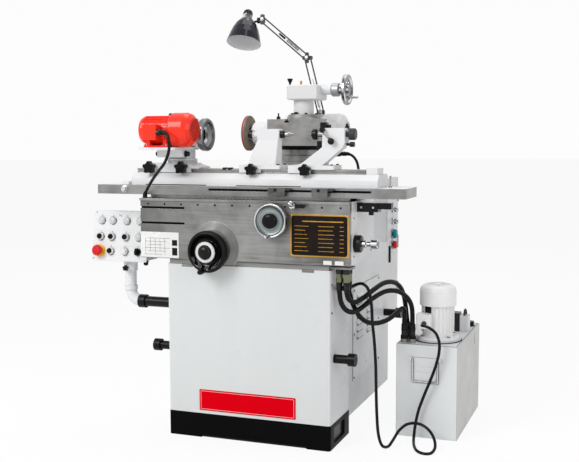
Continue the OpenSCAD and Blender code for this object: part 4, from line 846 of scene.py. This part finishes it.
def many(name, body, material, slot, build, axis, places, *sizes):
    """One piece with the same small part at several places."""
    make_piece(name, body, material, slot, *[(build, at, axis, *sizes) for at in places])


def spots(*axes):
    """Every place from lists of coordinates; the first one changes slowest."""
    places = [()]
    for values in axes:
        places = [(*at, v) for at in places for v in (values if isinstance(values, list) else [values])]
    return places


FRONT, RIGHT, LEFT, UP, DOWN = (0, -1, 0), (1, 0, 0), (-1, 0, 0), (0, 0, 1), (0, 0, -1)

# Material and slot
DARK = (make_material("screw_black", moulded(BLACK, 0.3), specular=0.18), "black_paint")
METAL = (make_material("screw_steel", plating_with_painted_reflection((0.5, 0.5, 0.5), 0.22)), "machined_steel")
SHINY = (bright, "chrome")
PLASTIC = (plastic_black, "black_plastic")

# Bare plates
RULE_W = 0.0012
make_piece("name_plate", "base",
    make_material("plate_red", enamel((0.7, 0.001, 0.008), 0.35, 0.05), specular=0.0), "red_paint",
    (slab, round_rect((-0.192, 0.189), (0.104, 0.183), 0.003), 1, BED_FRONT - 0.0018, BED_FRONT),
    bevel=0.0005)
make_piece("name_plate_rule", "base", make_material("rule_white", white_plastic), "white_plastic",
    *[(bar, x, (BED_FRONT - 0.0021, BED_FRONT - 0.0017), z)
        for x, z in (((-0.186, 0.183), (0.109, 0.109 + RULE_W)), ((-0.186, 0.183), (0.1768, 0.1768 + RULE_W)),
            ((-0.186, -0.186 + RULE_W), (0.109, 0.178)), ((0.1818, 0.1818 + RULE_W), (0.109, 0.178)))])

DATA_X, DATA_Z, DATA_MARGIN = (0.176, 0.391), (0.699, 0.848), 0.005
RULE_Y = (APRON_Y - 0.0021, APRON_Y - 0.0017)
gold = make_material("plate_gold", ground_steel((0.5, 0.27, 0.045), (4, 4, 4), 0.3, 0.15))
field_x, field_z = [(low + DATA_MARGIN, high - DATA_MARGIN) for low, high in (DATA_X, DATA_Z)]
make_piece("data_plate", "saddle", gold, "machined_steel",
    (slab, round_rect(DATA_X, DATA_Z, 0.002), 1, APRON_Y - 0.0015, APRON_Y), bevel=0.0004)
make_piece("data_plate_field", "saddle",
    make_material("field_black", moulded((0.008, 0.0045, 0.003), 0.3), specular=0.12), "black_paint",
    (slab, round_rect(field_x, field_z, 0.009), 1, APRON_Y - 0.0018, APRON_Y - 0.0014))
make_piece("data_plate_rules", "saddle", gold, "machined_steel",
    *[(bar, (DATA_X[0] + start, DATA_X[0] + start + length), RULE_Y, (z, z + 0.0016))
        for row, z in enumerate([DATA_Z[0] + 0.02 + 0.0145 * k for k in range(7)])
        for start, length in ((0.016, 0.052 - 0.006 * (row % 3)), (0.104, 0.058 - 0.005 * (row % 2)),
            (0.182, 0.015))],
    (bar, (DATA_X[0] + 0.045, DATA_X[1] - 0.02), RULE_Y, (DATA_Z[1] - 0.026, DATA_Z[1] - 0.0225)))
many("data_plate_rivets", "saddle", *METAL, cap_screw, FRONT, spots([DATA_X[0] + 0.004, DATA_X[1] - 0.004],
    APRON_Y - 0.0014, [DATA_Z[0] + 0.004, DATA_Z[1] - 0.004]), 0.0022, 0.0012)

GUIDE_X, GUIDE_Z = (-0.4195, -0.262), (0.673, 0.768)
GUIDE_ROWS = [0.684 + 0.012 * k for k in range(6)]
MARK_Y = (APRON_Y - 0.0014, APRON_Y - 0.0011)
make_piece("guide_plate", "saddle", make_material("plate_white", moulded((0.76, 0.76, 0.75), 0.3)),
    "white_plastic", (slab, round_rect(GUIDE_X, GUIDE_Z, 0.002), 1, APRON_Y - 0.0012, APRON_Y), bevel=0.0003)
make_piece("guide_plate_marks", "saddle", *DARK,
    *[(bar, (-0.2895, -0.2685), (APRON_Y - 0.0015, APRON_Y - 0.0011), z)
        for z in ((0.6825, 0.711), (0.7185, 0.74))],
    *[(bar, (-0.402 + 0.01 * (k % 2), -0.33 + 0.016 * (k % 3)), MARK_Y, (z, z + 0.0009))
        for k, z in enumerate(GUIDE_ROWS)],
    *[(bar, (x, x + 0.0009), MARK_Y, (GUIDE_ROWS[k % 2], 0.745))
        for k, x in enumerate([-0.4 + 0.02 * k for k in range(5)])])

# Black coat of the plinth; it leaves out the front relief and the hand pocket
PLINTH_X, PLINTH_R, COAT, FOOT = 0.319, 0.01, 0.0004, 0.0002
RELIEF_X, POCKET_Y = (-0.185, 0.2297), (-0.49, -0.36)
COAT_SPANS = ((FOOT, PLINTH_H), (0.009, PLINTH_H), (FOOT, PLINTH_H), (FOOT, 0.016), (0.074, PLINTH_H),
    (FOOT, PLINTH_H))


def coat_lines(grow):
    """The coat's stretches: left, relief, right, below and above the pocket, and behind it."""
    front, side = BED_FRONT - grow, PLINTH_X + grow
    corners = []
    for hand in (-1, 1):
        for k in range(7):
            a = math.radians(15 * k if hand < 0 else 90 - 15 * k)
            corners.append((hand * (PLINTH_X - PLINTH_R + (PLINTH_R + grow) * math.cos(a)),
                BED_FRONT + PLINTH_R - (PLINTH_R + grow) * math.sin(a)))
    pocket = [(side, y) for y in POCKET_Y]
    return ([(-PLINTH_X - grow, BED_BACK)] + corners[:7] + [(RELIEF_X[0], front)],
        [(x, front) for x in RELIEF_X], [(RELIEF_X[1], front)] + corners[7:] + pocket[:1],
        pocket, pocket, [pocket[1], (side, BED_BACK)])


make_piece("plinth_coat", "base", make_material("plinth_black", black_enamel, specular=0.02), "black_paint",
    *[(slab, inner + outer[::-1], 2, *z)
        for inner, outer, z in zip(coat_lines(0), coat_lines(COAT), COAT_SPANS)])

# Screws and bolts
many("apron_screws", "saddle", *DARK, cap_screw, FRONT,
    spots([-0.387 + 0.068 * k for k in range(12)], -0.5445, 0.872), 0.0036, 0.005)
many("saddle_side_screws", "saddle", *DARK, cap_screw, RIGHT, spots(0.3948, [-0.505, -0.285], [0.835, 0.7]),
    0.0032, 0.0015)
many("bed_screws", "base", *DARK, cap_screw, RIGHT,
    spots(0.3188, -0.518, [0.597, 0.497]) + spots(0.2578, [-0.03, 0.347], [0.142, 0.321, 0.5]), 0.0042, 0.0022)
many("column_bolts", "base", *METAL, hex_bolt, UP, spots([-0.105, 0.173], [-0.081, 0.16], 0.6795), 0.0095,
    0.009)
many("pump_bolts", "base", *METAL, hex_bolt, UP, circle(*PUMP, 0.071, (45, 135, 225, 315), 0.3675), 0.0065,
    0.006)
for side, x in (("left", 0.101), ("right", 0.303)):
    many(f"tailstock_screws_{side}", f"{side}_tailstock", *DARK, cap_screw, UP,
        spots(x, [-0.474, -0.404], 1.0158), 0.0055, 0.0045)
many("head_disc_screws", "wheelhead", *DARK, cap_screw, UP,
    circle(*COLUMN[:2], 0.051, (20, 70, 120, 170, 225, 300), 1.2076), 0.0058, 0.0062)
many("gearbox_screws", "lift_column", *DARK, cap_screw, UP, spots([-0.007, 0.101], [-0.056, 0.049], 1.3252),
    0.004, 0.0028)
many("foot_bolts", "workhead", *METAL, hex_bolt, UP, spots([-0.3575, -0.271], [-0.6195, -0.5285], 1.088),
    0.0042, 0.005)
make_piece("workhead_clamps", "workhead", *DARK, (hex_bolt, (-0.3597, -0.5, 1.056), LEFT, 0.0095, 0.016),
    (hex_bolt, (-0.2563, -0.5, 1.056), RIGHT, 0.0095, 0.016))
make_piece("motor_top_screw", "workhead", *DARK, (hex_bolt, (-0.276, -0.574, 1.1955), UP, 0.0065, 0.008),
    (hex_bolt, (-0.3915, -0.574, 1.1433), LEFT, 0.0065, 0.008))
many("nose_screw", "workhead", *DARK, cap_screw, UP, [(-0.236, -0.436, 1.1775)], 0.004, 0.0075)
many("cylinder_screws", "saddle", *METAL, cap_screw, FRONT, spots([0.412, 0.455], -0.4712, 0.871), 0.0042,
    0.004)

# Handwheels: dished webs, graduated ring, knobs and crank handles
DIAL_SEAT, CROSS_SEAT = (0.112, -0.5635, 0.824), (-0.13, -0.5645, 0.706)
DISH_Y = -0.58


def painted_reflection_streaks(tree):
    """Painted reflections: light bands low in a polished dish."""
    x, _, z = split_xyz(tree, coordinates(tree, "Normal"))
    wave = math_node(tree, "SINE", plus(tree, times(tree, x, 17.0), 1.2))
    return times(tree, between(tree, wave, 0.0, 1.0, -0.2, 0.9), between(tree, z, 0.0, 1.0, 0.25, 0.62))


# Black with painted reflections low in the dish, which also raise its metallic value there.
def black_with_painted_reflection(tree):
    paint = mix_color(tree, painted_reflection_streaks(tree), BLACK, (0.6, 0.6, 0.66))
    return paint, 0.16, times(tree, painted_reflection_streaks(tree), 0.9), noise(tree, 300.0, 2.0)


# Satin dish: turned rings, and painted reflection bands of dark and light in its colour.
def satin_dish_with_painted_reflection(tree):
    rings = noise(tree, 1.0, 2.0, (700, 60, 700))
    paint = mix_color(tree, painted_reflection_bands(tree, 0.0, 1.0), (0.09, 0.105, 0.105), (0.34, 0.38, 0.38))
    return mix_color(tree, rings, paint, (0.2, 0.22, 0.22)), 0.3, 0.85, rings


dial = make_piece("dial_wheel_body", "dial_handwheel",
    make_material("dial_body", plating_with_painted_reflection((0.55, 0.57, 0.58), 0.16),
        [(round_zone(1, DIAL, (0, 0.0535), high=DISH_Y), satin_dish_with_painted_reflection),
            (tick_zone(1, DIAL, (0.0445, 0.0485), 60, 0.12, high=DISH_Y), dark)]), "chrome",
    (turn, DIAL_SEAT, FRONT, mm((0, 0), (40, 0), (42, 4), (52, 8), (59, 9), (61.5, 12), (61.5, 21.5),
        (60.5, 24.5), (58.5, 26), (55.5, 26), (53.5, 25), (52, 22), (49, 19.5), (44, 18), (36, 17.5), (34, 18),
        (33, 20), (0, 20)), 96))
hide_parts("dial_handwheel")
make_piece("dial_wheel_knob", "dial_handwheel", *PLASTIC,
    (turn, DIAL_SEAT, FRONT, mm((0, 19.5), (26.5, 19.5), (27.5, 21), (27.5, 27), (26, 32), (22, 36), (15, 38.4),
        (0, 39)), 64))
make_piece("dial_wheel_handle", "dial_handwheel", *SHINY,
    (turn, (0.108, -0.5855, DIAL[2] - 0.0545), FRONT,
        mm((0, 0), (5, 0), (5, 3), (3.4, 4), (5.6, 9), (7, 22), (6.4, 31), (4, 35), (0, 36)), 32))

cross = make_piece("cross_wheel_body", "cross_handwheel",
    make_material("cross_body", black_enamel,
        [(round_zone(1, CROSS, (0.0396, 0.0655), high=DISH_Y), black_with_painted_reflection)], specular=0.15), "black_paint",
    (turn, CROSS_SEAT, FRONT, mm((0, 0), (36, 0), (36, 12), (50, 14), (69, 12), (73.5, 13.5), (76.5, 17.5),
        (76.5, 26), (75, 31), (72, 34.6), (68.5, 36.6), (65.5, 36.6), (63, 35), (61, 31), (57, 24), (52, 20),
        (45, 18), (40, 18.5), (39.5, 20), (39.5, 38), (38.5, 40), (0, 40)), 96))
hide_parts("cross_handwheel")
make_piece("cross_wheel_ring", "cross_handwheel",
    make_material("ring_white", white_plastic, [(tick_zone(1, CROSS, (0.0335, 0.0372), 80, 0.16), dark)]),
    "white_plastic", (turn, CROSS_SEAT, FRONT, mm((27, 39.5), (38, 39.5), (38, 42.5), (36.5, 44.8), (27, 44.8),
        (27, 39.5)), 96))
make_piece("cross_wheel_knob", "cross_handwheel",
    make_material("knob_gloss", moulded(BLACK, 0.09), specular=0.2), "black_plastic",
    (turn, CROSS_SEAT, FRONT, mm((0, 39), (25.5, 39), (25.5, 46), (24, 51), (19.5, 56), (12, 59.4), (0, 60.5)),
        64))
make_piece("cross_wheel_handle", "cross_handwheel", *PLASTIC,
    (turn, (-0.134, -0.5985, CROSS[2] - 0.0675), FRONT,
        mm((0, 0), (7, 0), (7, 3), (5, 4), (7, 9), (9, 20), (10, 32), (9.4, 44), (7.5, 51), (4.5, 54.3),
            (0, 55)), 32))

# Pendant: marks over the buttons, rings, collar, corner screws, on the leaning face; plug below
face = Matrix.Translation(FACE_AT) @ Matrix.Rotation(-FACE_TILT, 4, "X")
STOP_AT = (COL_X[0], ROW_H[2])
RING_AT = [(x, height) for height in ROW_H for x in COL_X if (x, height) != STOP_AT]
MARK_OUT, MARK_UP, MARK_H = (-0.0004, 0.0001), 0.0185, 0.0045
make_piece("pendant_marks", "pendant", *DARK,
    *[(bar, (x - 0.0008, x + 0.0008), MARK_OUT, (z + MARK_UP, z + MARK_UP + MARK_H)) for x, z in RING_AT],
    (bar, (-0.0145, -0.0035), MARK_OUT, (0.1745, 0.176)),
    (bar, (-0.005, -0.0035), MARK_OUT, (0.166, 0.176)), move=face)
make_piece("pendant_rings", "pendant", make_material("ring_grey", plating_with_painted_reflection((0.34, 0.34, 0.35), 0.2)), "chrome",
    *[(turn, (x, 0, z), FRONT, mm((14.1, 0), (16.6, 0), (16.4, 1.4), (15.6, 2.2), (14.1, 2.2), (14.1, 0)))
        for x, z in RING_AT], move=face)
make_piece("stop_collar", "pendant",
    make_material("collar_yellow", moulded((0.85, 0.46, 0.015), 0.3), specular=0.15), "white_plastic",
    (turn, (STOP_AT[0], 0, STOP_AT[1]), FRONT,
        mm((14.1, 0), (24, 0), (24, 2.6), (22.5, 3.6), (14.1, 4.2), (14.1, 0)), 48), move=face)
make_piece("pendant_screws", "pendant", *METAL,
    *[(cap_screw, (x, 0.0001, up), FRONT, 0.0026, 0.0016) for x in (-0.1125, 0.1125) for up in (0.004, 0.184)],
    move=face)
make_piece("pendant_plug", "pendant", *PLASTIC,
    (turn, (-0.462, -0.44, 0.6455), DOWN, mm((0, 0), (12, 0, 6), (12, 8, 6), (9.5, 10), (9.5, 18), (6, 22),
        (0, 22)), 24))

# Strip that covers the front of the ways
make_piece("way_strip", "base", make_material("strip_grey", enamel((0.42, 0.42, 0.4), 0.4, 0.15)),
    "machined_steel", (slab, [(-0.529, 0.6495), (-0.5, 0.6495), (-0.5, 0.6692), (-0.524, 0.6692),
        (-0.529, 0.664)], 0, -0.312, 0.312), bevel=0.0008)

# Clamp of the swivel table at the left end, stop pin at the right end, clips of the steel rail
make_piece("table_clamp", "table", paint_white, "white_paint",
    (slab, round_rect((-0.516, -0.484), (-0.52, -0.492), 0.004), 2, 0.9397, 0.953),
    (slab, round_rect((-0.512, -0.4805), (0.9415, 0.951), 0.002), 1, -0.508, -0.47), bevel=0.001)
many("table_clamp_bolt", "table", *SHINY, hex_bolt, FRONT, [(-0.5, -0.5262, 0.925)], 0.011, 0.012)
make_piece("table_pin", "table", *METAL, (turn, (0.505, -0.43, 0.9397), UP,
    mm((0, 0), (6, 0), (6, 6), (2.2, 8), (2.2, 34), (3.4, 35), (3.4, 41), (0, 42)), 20))
make_piece("rail_clips", "swivel_table", *DARK,
    *[(slab, [(-0.4805, 0.9975), (-0.458, 0.9975), (-0.458, 1.0012), (-0.462, 1.0065), (-0.476, 1.0065),
        (-0.4805, 1.001)], 0, x, x + 0.014) for x in (-0.116, -0.094)], bevel=0.0006)

# Collars round the cabinet's buttons, and the door's hinges
make_piece("button_collars", "cabinet_door", *METAL,
    *[(turn, (DOOR_X - 0.0002, 0.62, z), RIGHT, [(inner, 0), (inner + 0.004, 0), (inner + 0.004, 0.003),
        (inner + 0.0025, 0.0042), (inner, 0.0042), (inner, 0)])
        for z, inner in ((0.669, 0.0218), (0.618, 0.0188))])
make_piece("door_hinges", "cabinet_door", *METAL,
    *[(turn, (0.2495, 0.7192, z + low), UP, [(0, 0), (0.005, 0), (0.005, high - low), (0, high - low)], 20)
        for z in (0.375, 0.595, 0.815) for low, high in ((0, 0.0195), (0.0205, 0.0395), (0.0405, 0.06))],
    bevel=0.0005)

# Hose ends: crimped sleeves and hex nuts


def crimp(ribs, end):
    steps = [(11.8 if k % 2 else 10.8, 8 + 3 * k) for k in range(ribs)]
    return mm((0, 0), (11.8, 0), (11.8, 6), *steps, (9.5, end), (0, end))


HOSE_SPANS = [[Vector(ROUTES[hose][end]) / 1000 for end in (0, -1)] for hose in HOSES]
make_piece("hose_ends", "base", *DARK, *[shape for top, end in HOSE_SPANS for shape in (
    (turn, top + Vector((0, 0, 0.001)), DOWN, crimp(7, 30), 24),
    (turn, end, UP, crimp(6, 27), 24),
    (turn, (end.x, end.y, 0.3635), UP, mm((0, 0), (15.5, 0, 6), (15.5, 12, 6), (12, 14), (0, 14)), 24))])
make_piece("hose_nuts", "base", make_material("nut_olive", ground_steel((0.17, 0.18, 0.11), rough=0.3)),
    "machined_steel", *[(turn, (ROUTES[hose][0][0] / 1000, ROUTES[hose][0][1] / 1000, 0.6385), DOWN,
        mm((0, 0), (13.5, 0, 6), (13.5, 13, 6), (12.5, 15), (12.5, 29), (0, 29)), 24) for hose in HOSES])


def relief(name, body, points, start_r, end_r, length):
    """Ribbed tapered sleeve along the first stretch of a cable."""
    run = [far for far in distances(points) if far <= length]
    path = points[:len(run)]
    radii = [start_r + (end_r - start_r) * far / run[-1] for far in run]
    for i in range(1, len(path) - 1, 2):
        radii[i] += 0.0006
    bm = bmesh.new()
    tube(bm, path, radii)
    return new_piece(bm, name, body, rubber, "hose_rubber")


for cable, body, reverse in (("pump_cable", "base", False), ("pump_cable", "base", True),
        ("workhead_cable", "workhead", False), ("workhead_cable", "saddle", True),
        ("head_cable", "wheelhead", False), ("head_cable", "base", True)):
    line = smooth_route(ROUTES[cable], 6)
    relief(f"{cable}_relief_{'end' if reverse else 'exit'}", body, line[::-1] if reverse else line, 0.009,
        0.0064, 0.028)

# Lamp: cap nuts of the joints, and the balance springs
SPRING_R = 0.0052
LAMP, ELBOW, WRIST = (Vector((0.078, 0.076, 1.219)), Vector((0.020162, 0.076, 1.442642)),
    Vector((-0.176232, 0.076, 1.606853)))
for name, body, at in (("lamp_nut_base", "lamp_arm_lower", LAMP), ("lamp_nut_elbow", "lamp_arm_lower", ELBOW),
        ("lamp_nut_wrist", "lamp_shade", WRIST)):
    many(name, body, *SHINY, hex_bolt, FRONT, [(at.x, 0.0672, at.z)], 0.0062, 0.006)


def coil_spring(low, high, turns):
    """A wound wire between two points, with a pin at each end."""
    bm = bmesh.new()
    along = (high - low).normalized()
    side = along.orthogonal().normalized()
    up = along.cross(side)
    steps, wire = 14, 0.0008
    rings = []
    for i in range(turns * steps + 1):
        a = 2 * math.pi * i / steps
        out = math.cos(a) * side + math.sin(a) * up
        at = low + (high - low) * (i / (turns * steps)) + SPRING_R * out
        rings.append([bm.verts.new(at + wire * (math.cos(b) * out + math.sin(b) * along))
            for b in [math.pi * k / 3 for k in range(6)]])
    skin(bm, rings)
    bm.faces.new(rings[0])
    bm.faces.new(rings[-1])
    for at, way in ((low, -along), (high, along)):
        turn(bm, at - way * 0.003, way, mm((0, 0), (1.6, 0), (1.6, 24), (0, 24)), 12)
    return bm


BEHIND = Vector((0, 0.004, 0))
bm = coil_spring(LAMP.lerp(ELBOW, 0.1) + BEHIND, LAMP.lerp(ELBOW, 0.52) + BEHIND, 30)
new_piece(bm, "lamp_spring", "lamp_arm_lower", *METAL)
bm = coil_spring(ELBOW.lerp(WRIST, 0.2) + BEHIND, ELBOW.lerp(WRIST, 0.46) + BEHIND, 22)
new_piece(bm, "lamp_spring_upper", "lamp_arm_upper", *METAL)
make_piece("lamp_spring_sleeve", "lamp_arm_upper", *PLASTIC,
    (turn, ELBOW.lerp(WRIST, 0.5) + BEHIND, WRIST - ELBOW,
        mm((0, 0), (3.5, 0), (4.2, 1), (4.2, 30), (3, 34), (0, 34)), 20))

# Painted shadows under the louvres, and the dark joint round the side panel
make_piece("louvre_shadows", "base", make_material("louvre_grey", moulded((0.22, 0.22, 0.225), 0.6),
    specular=0.05), "black_paint", *[(bar, (0.2579, 0.2584), (y, y + 0.09), (z - 0.009, z + 0.0002))
        for y in (0.006, 0.156) for z in [0.3 + 0.028 * row for row in range(7)]])
make_piece("panel_gap", "base", make_material("gap_dark", moulded((0.02, 0.02, 0.021), 0.7), specular=0.05),
    "black_paint", (slab, round_rect((-0.0434, 0.3604), (0.1286, 0.5134), 0.0072), 0, 0.2549, 0.2554))

# Small bare tags over the hose unions
make_piece("hose_tags", "saddle", make_material("tag_white", white_plastic), "white_plastic",
    *[(slab, round_rect(x, (0.6735, 0.6875), 0.0008), 1, APRON_Y - 0.001, APRON_Y)
        for x in ((0.298, 0.329), (0.3405, 0.372))], bevel=0.0003)

# Pull plate behind the tank's handle, and the bare plate of the pump motor
make_piece("pull_joint", "base", make_material("joint_grey", moulded((0.12, 0.12, 0.12), 0.5)), "black_paint",
    (slab, round_rect((0.5505, 0.6515), (0.2075, 0.3045), 0.003), 1, -0.2654, -0.2649))
make_piece("pull_plate", "base", paint_white, "white_paint",
    (slab, round_rect((0.5515, 0.6505), (0.2085, 0.3035), 0.0026), 1, -0.2659, -0.2653),
    *[(bar, (0.553, 0.649), (-0.2663, -0.2658), (z, z + 0.0012)) for z in (0.249, 0.27)], bevel=0.0003)
inner, outer = [circle(*PUMP, r, range(232, 260, 2)) for r in (PUMP_R, PUMP_R + 0.0008)]
make_piece("pump_plate", "base", *DARK, (slab, inner + outer[::-1], 2, 0.4595, 0.4825))


def flat_ring(bm, outer, inner, low, high):
    ends = ((outer, low), (outer, high), (inner, high), (inner, low))
    loops = [[bm.verts.new((u, v, z)) for u, v in line] for line, z in ends]
    skin(bm, loops + loops[:1])


# Tank: lid seal, sight glass and filler cap
make_piece("tank_seal", "base", *DARK, (flat_ring, round_rect((0.4955, 0.7145), (-0.2595, 0.2245), 0.004),
    round_rect((0.4975, 0.7125), (-0.2575, 0.2225), 0.003), 0.3498, 0.3508),
    (turn, (*PUMP, 0.3498), UP, mm((87.5, 0), (91.5, 0), (91.5, 3), (87.5, 3), (87.5, 0)), 64))
make_piece("sight_glass", "base", make_material("sight_dark", moulded((0.012, 0.009, 0.006), 0.08)),
    "black_plastic", (slab, round_rect((0.1071, 0.1189), (0.2881, 0.3319), 0.0048, 8), 0, 0.7181, 0.71985))
make_piece("filler_cap", "base", *PLASTIC, (turn, (0.69, 0.165, 0.3495), UP,
    mm((0, 0), (21, 0), (21, 4), (17, 5), (17, 7), (18.5, 8, 12), (18.5, 18, 12), (16.5, 20), (0, 21)), 48))
